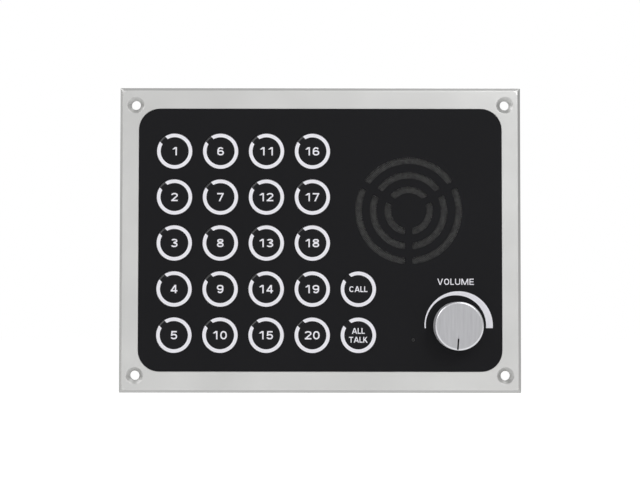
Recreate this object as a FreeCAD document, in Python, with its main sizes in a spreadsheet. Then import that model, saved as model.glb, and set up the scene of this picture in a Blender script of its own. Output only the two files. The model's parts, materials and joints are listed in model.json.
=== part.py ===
"""Panel-mounted intercom master station, in millimetres.

The front looks along -Y, +X is to the right and +Z is up. The origin is the centre of the four
panel screws, in the rear face of the front plate, so the panel starts at Y = 0 and the electronics
housing stands behind it, towards +Y.
"""

import FreeCAD, Part
import math
import os
import re

import Sketcher

V = FreeCAD.Vector
KEY_ROWS = 5
STATION_COLUMNS = 4
FUNCTION_KEYS = {"key_call": 3, "key_all_talk": 4}
SPOKE_ANGLES = (30, 150, 270)
CLIP_ANGLES = (40, 140, 220, 320)
ROLL_STEP = 30
SPIDER_FOLDS = 6
TERMINAL_ROWS = 3
TERMINAL_WAYS = 10

SIZES = [
    ("plate_margin_x", 9.2, "front plate, rim beside the foil"),
    ("plate_margin_z", 10.2, "front plate, rim above and below the foil"),
    ("plate_thickness", 4.0, "front plate, thickness"),
    ("plate_corner", 0.4, "front plate, radius of the outer corners"),
    ("bevel_width", 1.4, "front plate, bevel seen from the front"),
    ("bevel_depth", 1.2, "front plate, bevel along the thickness"),
    ("face_corner", 2.6, "front plate, corner radius inside the bevel"),
    ("screw_edge_x", 7.5, "panel screws, axis from the side edge of the plate"),
    ("screw_edge_z", 8.25, "panel screws, axis from the top or bottom edge of the plate"),
    ("screw_hole", 4.4, "panel screws, clearance hole diameter"),
    ("countersink", 8.2, "panel screws, countersink diameter at the face"),
    ("foil_left", 17.05, "front foil, edge to the first key column"),
    ("foil_top", 20.35, "front foil, edge to the first key row"),
    ("foil_foot", 17.25, "front foil, edge to the last key row"),
    ("foil_corner", 10.0, "front foil, corner radius"),
    ("foil_thickness", 0.5, "front foil, thickness"),
    ("foil_recess", 0.4, "front foil, depth of its recess in the plate"),
    ("foil_gap", 0.15, "front foil, gap to the recess wall"),
    ("gasket_width", 2.5, "panel gasket, width of the ring"),
    ("gasket_depth", 1.5, "panel gasket, depth of its groove"),
    ("gasket_offset", 3.8, "panel gasket, outer edge beyond the housing wall"),
    ("gasket_corner", 6.0, "panel gasket, outer corner radius"),
    ("key_pitch", 22.0, "keys, pitch of rows and columns"),
    ("key_diameter", 17.2, "keys, diameter of the cap"),
    ("key_foil_gap", 0.1, "keys, radial gap to the foil"),
    ("key_plate_gap", 0.2, "keys, radial gap to the plate"),
    ("flange_overlap", 0.6, "keys, flange beyond the hole in the plate"),
    ("key_flange_thickness", 1.0, "keys, thickness of the flange"),
    ("key_flange_gap", 0.1, "keys, gap from the plate to the flange at rest"),
    ("key_stem", 3.0, "keys, diameter of the stem"),
    ("stem_entry", 0.3, "keys, length of stem inside the switch at rest"),
    ("key_travel", 0.5, "keys, travel when pressed"),
    ("window_diameter", 2.0, "keys, diameter of the light well"),
    ("window_wall", 0.4, "keys, wall outside the light well"),
    ("switch_width", 6.0, "tactile switch, side of the housing"),
    ("switch_height", 3.8, "tactile switch, height"),
    ("switch_gap", 1.1, "tactile switch, gap to the flange of a pressed key"),
    ("stem_gap", 0.2, "tactile switch, radial gap round the stem"),
    ("stem_end_gap", 0.6, "tactile switch, gap below the stem of a pressed key"),
    ("lamp_diameter", 1.8, "signal lamp, diameter"),
    ("lamp_height", 2.4, "signal lamp, height"),
    ("board_thickness", 1.6, "circuit boards, thickness"),
    ("key_board_margin", 7.5, "key board, edge beyond the outer key centres"),
    ("key_board_foot", 4.5, "key board, edge below the lowest key centres"),
    ("main_board_gap", 23.0, "main board, distance behind the key board"),
    ("main_board_side", 17.5, "main board, overhang right of the pillars"),
    ("main_board_edge", 5.0, "main board, overhang left of the pillars"),
    ("main_board_top", 13.0, "main board, overhang above the pillars"),
    ("main_board_foot", 10.0, "main board, overhang below the pillars"),
    ("pillar_flats", 5.5, "board pillars, across flats"),
    ("thread", 3.0, "small screws, thread diameter"),
    ("thread_gap", 0.05, "small screws, radial gap in a threaded hole"),
    ("screw_gap", 0.2, "small screws, radial gap in a clearance hole"),
    ("head_diameter", 5.5, "small screws, head diameter"),
    ("head_height", 2.2, "small screws, head height"),
    ("socket_flats", 2.0, "small screws, hexagon socket"),
    ("plate_thread_depth", 2.8, "screw holes in the rear of the plate, depth"),
    ("thread_tip_gap", 0.2, "small screws, gap below the tip"),
    ("speaker_offset", 46.05, "loudspeaker, axis from the last station column"),
    ("speaker_edge", 44.5, "loudspeaker, axis from the right edge of the foil"),
    ("speaker_rise", 37.55, "loudspeaker, axis above the call key"),
    ("slot_radius", 10.0, "sound slots, mid radius of the first ring"),
    ("slot_pitch", 7.0, "sound slots, distance between rings"),
    ("slot_width", 3.2, "sound slots, width"),
    ("spoke_width", 3.4, "sound slots, width of the spokes between them"),
    ("mesh_diameter", 56.0, "speaker mesh, diameter"),
    ("mesh_thickness", 0.4, "speaker mesh, thickness"),
    ("frame_diameter", 66.0, "loudspeaker, diameter of the frame"),
    ("speaker_sheet", 0.8, "loudspeaker, sheet thickness of the basket"),
    ("speaker_gasket_depth", 2.0, "loudspeaker, thickness of the foam gasket"),
    ("speaker_gasket_gap", 0.2, "loudspeaker, radial gap from surround to foam gasket"),
    ("frame_flange", 3.8, "loudspeaker, width of the basket's flange"),
    ("basket_seat", 32.6, "loudspeaker, basket diameter at the spider seat"),
    ("basket_neck", 18.0, "loudspeaker, hole in the rear of the basket"),
    ("basket_depth", 11.0, "loudspeaker, depth of the basket"),
    ("basket_window", 8.0, "loudspeaker, windows in the basket wall"),
    ("cone_clearance", 2.0, "loudspeaker, cone shallower than the basket"),
    ("cone_thickness", 0.4, "loudspeaker, thickness of the cone"),
    ("cone_rim", 1.2, "loudspeaker, width of the cone's flat rim"),
    ("roll_radius", 1.4, "loudspeaker, radius of the surround's roll"),
    ("roll_land", 1.4, "loudspeaker, flat between roll and basket mouth"),
    ("surround_overlap", 1.2, "loudspeaker, surround lying on the basket's flange"),
    ("cap_radius", 8.5, "loudspeaker, radius of the dust cap"),
    ("cap_rise", 3.0, "loudspeaker, rise of the dust cap"),
    ("coil_diameter", 13.8, "loudspeaker, outer diameter of the voice coil"),
    ("coil_wall", 0.4, "loudspeaker, wall of the voice coil"),
    ("coil_length", 8.0, "loudspeaker, length of the voice coil"),
    ("coil_gap", 0.5, "loudspeaker, radial gap beside the voice coil"),
    ("spider_gap", 0.1, "loudspeaker, gap from spider to voice coil"),
    ("washer_thickness", 2.5, "loudspeaker, thickness of the front washer"),
    ("magnet_diameter", 32.0, "loudspeaker, magnet diameter"),
    ("magnet_bore", 18.0, "loudspeaker, magnet bore"),
    ("washer_inset", 0.8, "loudspeaker, washer and yoke inside the magnet's edge"),
    ("magnet_thickness", 7.0, "loudspeaker, magnet thickness"),
    ("yoke_thickness", 3.0, "loudspeaker, thickness of the yoke plate"),
    ("clip_gap", 0.4, "speaker clips, gap from the spacer to the frame"),
    ("clip_diameter", 11.0, "speaker clips, diameter of the finger"),
    ("clip_neck", 6.4, "speaker clips, diameter of the spacer"),
    ("clip_thickness", 1.0, "speaker clips, thickness of the finger"),
    ("knob_edge_x", 21.4, "volume knob, axis from the right edge of the foil"),
    ("knob_edge_z", 21.8, "volume knob, axis from the bottom edge of the foil"),
    ("knob_diameter", 22.9, "volume knob, diameter"),
    ("knob_chamfer", 0.9, "volume knob, width of the front chamfer"),
    ("knob_chamfer_depth", 0.6, "volume knob, depth of the front chamfer"),
    ("knob_height", 13.0, "volume knob, height"),
    ("knob_gap", 0.5, "volume knob, gap to the foil"),
    ("knob_inner_gap", 0.6, "volume knob, gap to the bushing"),
    ("knob_bore_floor", 1.3, "volume knob, metal in front of the bore"),
    ("pointer_length", 5.5, "volume knob, length of the pointer line"),
    ("pointer_lean", 4.3, "volume knob, degrees from straight down to the pointer line"),
    ("pointer_width", 0.6, "volume knob, width of the pointer line"),
    ("pointer_depth", 0.3, "volume knob, depth of the pointer line"),
    ("grub_length", 5.0, "volume knob, length of the grub screw"),
    ("shaft_diameter", 6.0, "potentiometer, shaft diameter"),
    ("shaft_gap", 0.05, "potentiometer, running gap of the shaft"),
    ("bushing_wall", 0.45, "potentiometer, wall of the bushing"),
    ("bushing_proud", 1.2, "potentiometer, bushing in front of its nut"),
    ("bushing_gap", 0.1, "potentiometer, gap from bushing to plate and nut"),
    ("pot_nut_wall", 1.5, "potentiometer, wall of the nut at its flats"),
    ("pot_nut_height", 2.2, "potentiometer, nut height"),
    ("nut_gap", 1.4, "potentiometer, gap from the nut's corners to foil and knob"),
    ("pot_diameter", 16.8, "potentiometer, body diameter"),
    ("pot_depth", 9.5, "potentiometer, body depth"),
    ("pot_wall", 1.5, "potentiometer, wall of the body"),
    ("rotor_gap", 0.5, "potentiometer, gap round the rotor"),
    ("tag_width", 1.5, "potentiometer, width of a solder tag"),
    ("tag_thickness", 0.75, "potentiometer, thickness of a solder tag"),
    ("tag_length", 4.5, "potentiometer, length of a solder tag"),
    ("tag_pitch", 4.2, "potentiometer, distance between solder tags"),
    ("mic_edge_x", 42.4, "microphone, axis from the right edge of the foil"),
    ("mic_edge_z", 15.1, "microphone, axis from the bottom edge of the foil"),
    ("mic_hole", 1.6, "microphone, sound hole"),
    ("mic_diameter", 9.7, "microphone, capsule diameter"),
    ("mic_depth", 6.5, "microphone, capsule depth"),
    ("boot_wall", 1.3, "microphone, wall of the rubber boot"),
    ("boot_floor", 1.0, "microphone, front of the rubber boot"),
    ("housing_inset", 4.8, "rear housing, wall inside the edge of the foil"),
    ("housing_corner", 2.5, "rear housing, outer corner radius"),
    ("housing_sheet", 1.2, "rear housing, sheet thickness"),
    ("housing_lip", 7.0, "rear housing, width of the rear lip"),
    ("lug_width", 7.0, "rear housing, width of the front lugs"),
    ("lug_head_gap", 0.55, "rear housing, gap from the lug screw's head to the wall"),
    ("lug_side", 6.0, "rear housing, right lugs from the side wall"),
    ("cover_screw_inset", 3.8, "rear cover, screw axis inside the wall"),
    ("cover_sink", 6.0, "rear cover, countersink diameter"),
    ("cover_screw_length", 6.0, "rear cover, screw length"),
    ("terminal_pitch", 5.08, "terminals, pitch of the ways"),
    ("terminal_end", 1.0, "terminals, wall beyond the last way"),
    ("terminal_row_pitch", 14.5, "terminals, distance between rows"),
    ("terminal_drop", 28.45, "terminals, first row below the upper pillars"),
    ("socket_height", 8.6, "terminals, socket height"),
    ("socket_depth", 12.0, "terminals, socket depth"),
    ("socket_wall", 0.9, "terminals, socket wall"),
    ("socket_floor", 3.0, "terminals, socket floor"),
    ("plug_height", 11.0, "terminals, plug height"),
    ("plug_depth", 12.0, "terminals, plug depth behind the socket"),
    ("plug_gap", 0.1, "terminals, gap between plug and socket"),
    ("plug_inside", 4.0, "terminals, length of plug between socket and rear cover"),
    ("wire_entry", 2.8, "terminals, wire entry diameter"),
    ("wire_depth", 8.0, "terminals, wire entry depth"),
    ("window_gap", 1.0, "rear cover, gap round each plug"),
    ("transformer_width", 26.0, "line transformer, width of the core"),
    ("transformer_core", 15.0, "line transformer, height of the core"),
    ("transformer_coil", 22.0, "line transformer, height over the coil"),
    ("transformer_depth", 12.0, "line transformer, depth"),
    ("coil_width", 15.6, "line transformer, width of the coil"),
    ("coil_inset", 1.5, "line transformer, coil in from the face of the core"),
    ("transformer_pitch", 30.0, "line transformer, distance between the two"),
    ("transformer_drop", 9.45, "line transformer, middle below the upper pillars"),
    ("can_diameter", 8.0, "capacitors, diameter"),
    ("can_height", 12.0, "capacitors, height"),
    ("can_pitch", 9.0, "capacitors, distance between them"),
    ("ribbon_width", 15.0, "ribbon cable, width"),
    ("ribbon_thickness", 0.9, "ribbon cable, thickness"),
    ("ribbon_bend", 3.0, "ribbon cable, outer bend radius"),
    ("ribbon_slack", 2.95, "ribbon cable, loop below the key board"),
    ("connector_height", 6.0, "ribbon connectors, height"),
    ("connector_width", 5.0, "ribbon connectors, width"),
    ("connector_inset", 1.0, "ribbon connectors, distance from the board's edge"),
    ("earth_edge_x", 22.0, "earth stud, axis from the right wall of the housing"),
    ("earth_edge_z", 22.0, "earth stud, axis from the bottom wall of the housing"),
    ("earth_diameter", 4.0, "earth stud, diameter"),
    ("earth_shoulder", 5.2, "earth stud, diameter of the shoulder pressed into the cover"),
    ("earth_length", 10.0, "earth stud, free length"),
    ("earth_head", 9.0, "earth stud, head diameter"),
    ("earth_head_height", 1.5, "earth stud, head height"),
]
NAMES = {name for name, _, _ in SIZES}

# The front's outline, worked out from what it holds
FOIL_WIDTH = f"(foil_left + {STATION_COLUMNS - 1} * key_pitch + speaker_offset + speaker_edge)"
FOIL_HEIGHT = f"(foil_top + {KEY_ROWS - 1} * key_pitch + foil_foot)"
FOIL_RIGHT = f"({FOIL_WIDTH} / 2)"
FOIL_FOOT = f"(-{FOIL_HEIGHT} / 2)"
PLATE_WIDTH = f"({FOIL_WIDTH} + 2 * plate_margin_x)"
PLATE_HEIGHT = f"({FOIL_HEIGHT} + 2 * plate_margin_z)"
HOUSING_WIDTH = f"({FOIL_WIDTH} - 2 * housing_inset)"
HOUSING_HEIGHT = f"({FOIL_HEIGHT} - 2 * housing_inset)"

# Places across and up
KEY_FIRST_X = f"(foil_left - {FOIL_RIGHT})"
KEY_FIRST_Z = f"({FOIL_HEIGHT} / 2 - foil_top)"
KEY_LAST_Z = f"({KEY_FIRST_Z} - {KEY_ROWS - 1} * key_pitch)"
CALL_Z = f"({KEY_FIRST_Z} - {FUNCTION_KEYS['key_call']} * key_pitch)"
SPEAKER_X = f"({FOIL_RIGHT} - speaker_edge)"
SPEAKER_Z = f"({CALL_Z} + speaker_rise)"
KNOB_X = f"({FOIL_RIGHT} - knob_edge_x)"
KNOB_Z = f"({FOIL_FOOT} + knob_edge_z)"
MIC_X = f"({FOIL_RIGHT} - mic_edge_x)"
MIC_Z = f"({FOIL_FOOT} + mic_edge_z)"
PILLAR_LEFT = f"({KEY_FIRST_X} + key_pitch / 2)"
PILLAR_RIGHT = f"({KEY_FIRST_X} + {STATION_COLUMNS - 0.5} * key_pitch)"
PILLAR_TOP = f"({KEY_FIRST_Z} - key_pitch / 2)"
PILLAR_FOOT = f"({KEY_LAST_Z} + key_pitch / 2)"
PILLARS = [(x, z) for x in (PILLAR_LEFT, PILLAR_RIGHT) for z in (PILLAR_TOP, PILLAR_FOOT)]
BOARD_RIGHT = f"({PILLAR_RIGHT} + main_board_side)"
LUG_X = f"({HOUSING_WIDTH} / 2 - lug_side)"
LUG_Z = f"({HOUSING_HEIGHT} / 2 - housing_sheet - head_diameter / 2 - lug_head_gap)"
LUGS = [(x, z) for x in (PILLAR_LEFT, LUG_X) for z in (LUG_Z, f"(-{LUG_Z})")]
SCREW_X = f"({PLATE_WIDTH} / 2 - screw_edge_x)"
SCREW_Z = f"({PLATE_HEIGHT} / 2 - screw_edge_z)"
PANEL_SCREWS = [(f"({a}{SCREW_X})", f"({b}{SCREW_Z})") for a in "-+" for b in "-+"]
COVER_X = f"({HOUSING_WIDTH} / 2 - housing_sheet - cover_screw_inset)"
COVER_Z = f"({HOUSING_HEIGHT} / 2 - housing_sheet - cover_screw_inset)"
COVER_SCREWS = [(f"({a}{COVER_X})", f"({b}{COVER_Z})") for a in "-+" for b in "-+"]
CLIP_CIRCLE = "(frame_diameter / 2 + clip_gap + clip_neck / 2)"
CLIPS = [
    (f"({SPEAKER_X} + {CLIP_CIRCLE} * cos({a} deg))", f"({SPEAKER_Z} + {CLIP_CIRCLE} * sin({a} deg))")
    for a in CLIP_ANGLES
]
EARTH_X = f"({HOUSING_WIDTH} / 2 - earth_edge_x)"
EARTH_Z = f"(earth_edge_z - {HOUSING_HEIGHT} / 2)"
TERMINAL_X = f"(({PILLAR_LEFT} + {PILLAR_RIGHT}) / 2)"
TERMINAL_LENGTH = f"({TERMINAL_WAYS} * terminal_pitch + 2 * terminal_end)"

# Diameters that follow others
KEY_HOLE = "(key_diameter + 2 * key_plate_gap)"
KEY_FLANGE = f"({KEY_HOLE} + 2 * flange_overlap)"
WINDOW_OFFSET = "((key_diameter / 2 - window_wall - window_diameter / 2) * sin(45 deg))"
BASKET_MOUTH = "(frame_diameter - 2 * frame_flange)"
SURROUND_DIAMETER = f"({BASKET_MOUTH} + 2 * surround_overlap)"
CONE_DIAMETER = f"({BASKET_MOUTH} - 2 * (roll_land + 2 * roll_radius + cone_thickness))"
MOTOR_DIAMETER = "(magnet_diameter - 2 * washer_inset)"
SHAFT_BORE = "(shaft_diameter + 2 * shaft_gap)"
BUSHING_DIAMETER = f"({SHAFT_BORE} + 2 * bushing_wall)"
NUT_FLATS = f"({BUSHING_DIAMETER} + 2 * pot_nut_wall)"
NUT_ROOM = f"({NUT_FLATS} / cos(30 deg) + 2 * nut_gap)"

# Places along Y
PLATE_FRONT = "(-plate_thickness)"
FOIL_SEAT = "(foil_recess - plate_thickness)"
FOIL_FRONT = "(foil_recess - plate_thickness - foil_thickness)"
BEVEL_REAR = "(bevel_depth - plate_thickness)"
FLANGE_REAR = "(key_flange_gap + key_flange_thickness)"
SWITCH_FRONT = f"({FLANGE_REAR} + key_travel + switch_gap)"
KEY_BOARD_FRONT = f"({SWITCH_FRONT} + switch_height)"
KEY_BOARD_REAR = f"({KEY_BOARD_FRONT} + board_thickness)"
MAIN_FRONT = f"({KEY_BOARD_REAR} + main_board_gap)"
MAIN_REAR = f"({MAIN_FRONT} + board_thickness)"
BASKET_FRONT = "speaker_gasket_depth"
BASKET_REAR = "(speaker_gasket_depth + basket_depth)"
MOTOR_FRONT = f"({BASKET_REAR} + speaker_sheet)"
MAGNET_FRONT = f"({MOTOR_FRONT} + washer_thickness)"
MAGNET_REAR = f"({MAGNET_FRONT} + magnet_thickness)"
KNOB_REAR = f"({FOIL_FRONT} - knob_gap)"
KNOB_FRONT = f"({KNOB_REAR} - knob_height)"
NUT_FRONT = f"({FOIL_SEAT} - pot_nut_height)"
BUSHING_FRONT = f"({NUT_FRONT} - bushing_proud)"
KNOB_FLOOR = f"({BUSHING_FRONT} - knob_inner_gap)"
BORE_FLOOR = f"({KNOB_FRONT} + knob_bore_floor)"
SOCKET_MOUTH = f"({MAIN_REAR} + socket_depth)"
HOUSING_REAR = f"({SOCKET_MOUTH} + plug_gap + plug_inside)"
COVER_REAR = f"({HOUSING_REAR} + housing_sheet)"

doc = FreeCAD.newDocument("IntercomStation")
sheet = doc.addObject("Spreadsheet::Sheet", "Sizes")
for row, (name, value, meaning) in enumerate(SIZES, start=1):
    sheet.set(f"A{row}", meaning)
    sheet.set(f"B{row}", str(value))
    sheet.setAlias(f"B{row}", name)
doc.recompute()
nodes = []


# Helpers: expressions, primitives and booleans


def bound(expression):
    """The expression with each size written as a cell of the sheet."""
    return re.sub(
        r"[a-z][a-z_]*",
        lambda found: f"Sizes.{found.group()}" if found.group() in NAMES else found.group(),
        str(expression),
    )


def number(expression):
    """The expression's value with the sizes as they are now."""
    found = sheet.evalExpression(bound(expression))
    return float(getattr(found, "Value", found))


def bind(item, settings):
    """Ties properties of a document object to expressions."""
    for path, expression in settings.items():
        item.setExpression(path, bound(expression))


def place(item, x="0", y="0", z="0"):
    """Puts a document object at a point given by expressions."""
    bind(item, {"Placement.Base.x": x, "Placement.Base.y": y, "Placement.Base.z": z})
    return item


def span_about(middle, width):
    """Two expressions half a width each side of the middle."""
    return (f"{middle} - ({width}) / 2", f"{middle} + ({width}) / 2")


def node(item, name):
    """Registers a finished sub-part under its own name."""
    item.Label = name
    nodes.append(item)
    return item


def block(name, x, y, z):
    """A box between the two expressions given for each axis."""
    item = doc.addObject("Part::Box", name)
    bind(item, {"Length": f"{x[1]} - ({x[0]})", "Width": f"{y[1]} - ({y[0]})"})
    bind(item, {"Height": f"{z[1]} - ({z[0]})"})
    return place(item, x[0], y[0], z[0])


def along_y(kind, name, x, z, y, **settings):
    """A round or many-sided primitive whose axis runs along Y between two expressions."""
    item = doc.addObject(f"Part::{kind}", name)
    bind(item, settings)
    bind(item, {"Height": f"{y[1]} - ({y[0]})"})
    item.Placement = FreeCAD.Placement(V(), FreeCAD.Rotation(V(1, 0, 0), -90))
    return place(item, x, y[0], z)


def disc(name, x, z, y, diameter):
    """A cylinder along Y."""
    return along_y("Cylinder", name, x, z, y, Radius=f"({diameter}) / 2")


def frustum(name, x, z, y, first, second):
    """A cone along Y, with its diameters at the two ends."""
    return along_y("Cone", name, x, z, y, Radius1=f"({first}) / 2", Radius2=f"({second}) / 2")


def hexagon(name, x, z, y, flats):
    """A hexagonal prism along Y, given across flats."""
    item = along_y("Prism", name, x, z, y, Circumradius=f"({flats}) / 2 / cos(30 deg)")
    item.Polygon = 6
    return item


def cut(name, base, tool):
    """Base without tool."""
    item = doc.addObject("Part::Cut", name)
    item.Base = base
    item.Tool = tool
    return item


def fuse(name, items):
    """Several solids joined into one."""
    item = doc.addObject("Part::MultiFuse", name)
    item.Shapes = items
    return item


def group(name, items):
    """Several solids side by side in one sub-part."""
    item = doc.addObject("Part::Compound", name)
    item.Links = items
    return item


def ring(name, x, z, y, outer, inner):
    """A tube along Y."""
    return cut(name, disc(f"{name}_wall", x, z, y, outer), disc(f"{name}_bore", x, z, y, inner))


# Helpers: bodies with sketches


def new_body(name):
    """An empty body."""
    return doc.addObject("PartDesign::Body", name)


def new_sketch(body, name, role, offset="0"):
    """A sketch on one of the body's own origin planes, moved along the plane's normal."""
    item = body.newObject("Sketcher::SketchObject", name)
    plane = next(f for f in body.Origin.OriginFeatures if f.Role == role)
    item.AttachmentSupport = [(plane, "")]
    item.MapMode = "FlatFace"
    bind(item, {"AttachmentOffset.Base.z": offset})
    return item


def front_sketch(body, name, y="0"):
    """A sketch seen from the front: its X is X, its Y is Z, and its normal is -Y."""
    return new_sketch(body, name, "XZ_Plane", f"-({y})")


def tie(sketch, kind, geometry, point, expression):
    """Ties one coordinate of a sketch point to an expression."""
    axis = {"DistanceX": -2, "DistanceY": -1}[kind]
    if expression == "0":
        sketch.addConstraint(Sketcher.Constraint("PointOnObject", geometry, point, axis))
        return
    value = number(expression)
    index = sketch.addConstraint(Sketcher.Constraint(kind, -1, 1, geometry, point, value))
    sketch.setExpression(f"Constraints[{index}]", bound(expression))


def draw_circle(sketch, x, z, diameter):
    """A circle with its centre and diameter tied to expressions."""
    centre = V(number(x), number(z), 0)
    index = sketch.addGeometry(Part.Circle(centre, V(0, 0, 1), number(diameter) / 2))
    tie(sketch, "DistanceX", index, 3, x)
    tie(sketch, "DistanceY", index, 3, z)
    size = sketch.addConstraint(Sketcher.Constraint("Diameter", index, number(diameter)))
    sketch.setExpression(f"Constraints[{size}]", bound(diameter))


def draw_polygon(sketch, points):
    """A closed outline of straight lines, each corner tied to its two expressions."""
    corners = [V(number(x), number(y), 0) for x, y in points]
    lines = []
    for start, end in zip(corners, corners[1:] + corners[:1]):
        lines.append(sketch.addGeometry(Part.LineSegment(start, end)))
    for line, following in zip(lines, lines[1:] + lines[:1]):
        sketch.addConstraint(Sketcher.Constraint("Coincident", line, 2, following, 1))
    for line, (x, y) in zip(lines, points):
        tie(sketch, "DistanceX", line, 1, x)
        tie(sketch, "DistanceY", line, 1, y)


def draw_rounded_rectangle(sketch, width, height, radius):
    """A rectangle about the sketch's origin, with round corners."""
    w = number(width) / 2
    d = number(height) / 2
    r = number(radius)
    quarter = math.pi / 2
    straights = [
        (V(w - r, d, 0), V(r - w, d, 0)),
        (V(-w, d - r, 0), V(-w, r - d, 0)),
        (V(r - w, -d, 0), V(w - r, -d, 0)),
        (V(w, r - d, 0), V(w, d - r, 0)),
    ]
    lines = [sketch.addGeometry(Part.LineSegment(*ends)) for ends in straights]
    arcs = []
    for turn, (x, y) in enumerate(((-1, 1), (-1, -1), (1, -1), (1, 1)), start=1):
        corner = Part.Circle(V(x * (w - r), y * (d - r), 0), V(0, 0, 1), r)
        arc = Part.ArcOfCircle(corner, turn * quarter, (turn + 1) * quarter)
        arcs.append(sketch.addGeometry(arc))
    for i in range(4):
        sketch.addConstraint(Sketcher.Constraint("Tangent", lines[i], 2, arcs[i], 1))
        sketch.addConstraint(Sketcher.Constraint("Tangent", arcs[i], 2, lines[(i + 1) % 4], 1))
        sketch.addConstraint(
            Sketcher.Constraint("Horizontal" if i % 2 == 0 else "Vertical", lines[i])
        )
        size = sketch.addConstraint(Sketcher.Constraint("Radius", arcs[i], r))
        sketch.setExpression(f"Constraints[{size}]", bound(radius))
    tie(sketch, "DistanceY", lines[0], 1, f"({height}) / 2")
    tie(sketch, "DistanceX", lines[1], 1, f"-({width}) / 2")
    tie(sketch, "DistanceY", lines[2], 1, f"-({height}) / 2")
    tie(sketch, "DistanceX", lines[3], 1, f"({width}) / 2")


def pad(body, sketch, name, length, backwards=False):
    """Adds the sketch's outline, towards the front, or towards the rear if backwards."""
    item = body.newObject("PartDesign::Pad", name)
    item.Profile = sketch
    item.Reversed = backwards
    bind(item, {"Length": length})
    return item


def pocket(body, sketch, name, length=None, from_rear=False):
    """Cuts the sketch's outline towards the rear, or towards the front if it starts there."""
    item = body.newObject("PartDesign::Pocket", name)
    item.Profile = sketch
    item.Reversed = from_rear
    if length is None:
        item.Type = "ThroughAll"
    else:
        bind(item, {"Length": length})
    return item


def turned(name, x, z, points):
    """A body turned about an axis along Y. The points are (radius, place along Y)."""
    body = new_body(name)
    sketch = new_sketch(body, f"{name}_profile", "XY_Plane")
    draw_polygon(sketch, points)
    item = body.newObject("PartDesign::Revolution", f"{name}_turned")
    item.Profile = sketch
    item.ReferenceAxis = (sketch, ["V_Axis"])
    item.Angle = 360
    return place(body, x, "0", z)


def screw(name, x, z, seat, tip):
    """A small socket-head screw whose head bears at seat and whose shank ends at tip."""
    top = f"({seat}) + head_height"
    head = disc(f"{name}_head", x, z, (seat, top), "head_diameter")
    shank = disc(f"{name}_shank", x, z, (tip, seat), "thread")
    socket = hexagon(f"{name}_socket", x, z, (f"{top} - head_height / 2", top), "socket_flats")
    return cut(name, fuse(f"{name}_blank", [head, shank]), socket)


def key_grid():
    """The name and place of every key."""
    found = []
    for count in range(KEY_ROWS * STATION_COLUMNS):
        column, row_number = divmod(count, KEY_ROWS)
        found.append((f"key_{count + 1:02d}", column, row_number))
    found += [(name, STATION_COLUMNS, row_number) for name, row_number in FUNCTION_KEYS.items()]
    return [
        (name, f"({KEY_FIRST_X} + {column} * key_pitch)", f"({KEY_FIRST_Z} - {line} * key_pitch)")
        for name, column, line in found
    ]


KEYS = key_grid()


# Sub-parts of the front


def slot_cutter(name):
    """The sound slots: three rings parted by three spokes, cut right through plate and foil."""
    depth = (f"{FOIL_FRONT} - 1", "1")
    reach = "slot_radius + 2 * slot_pitch + slot_width"
    rings = []
    for count in range(3):
        middle = f"2 * (slot_radius + {count} * slot_pitch)"
        outer = f"{middle} + slot_width"
        inner = f"{middle} - slot_width"
        rings.append(ring(f"{name}_{count}", SPEAKER_X, SPEAKER_Z, depth, outer, inner))
    spokes = []
    for angle in SPOKE_ANGLES:
        bar = doc.addObject("Part::Box", f"{name}_spoke")
        bar.Placement = FreeCAD.Placement(V(), FreeCAD.Rotation(V(0, -1, 0), angle))
        bind(bar, {"Length": reach, "Width": f"{depth[1]} - ({depth[0]})"})
        bind(bar, {"Height": "spoke_width"})
        x = f"{SPEAKER_X} + spoke_width / 2 * sin({angle} deg)"
        z = f"{SPEAKER_Z} - spoke_width / 2 * cos({angle} deg)"
        spokes.append(place(bar, x, depth[0], z))
    return cut(name, group(f"{name}_rings", rings), fuse(f"{name}_spokes", spokes))


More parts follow.
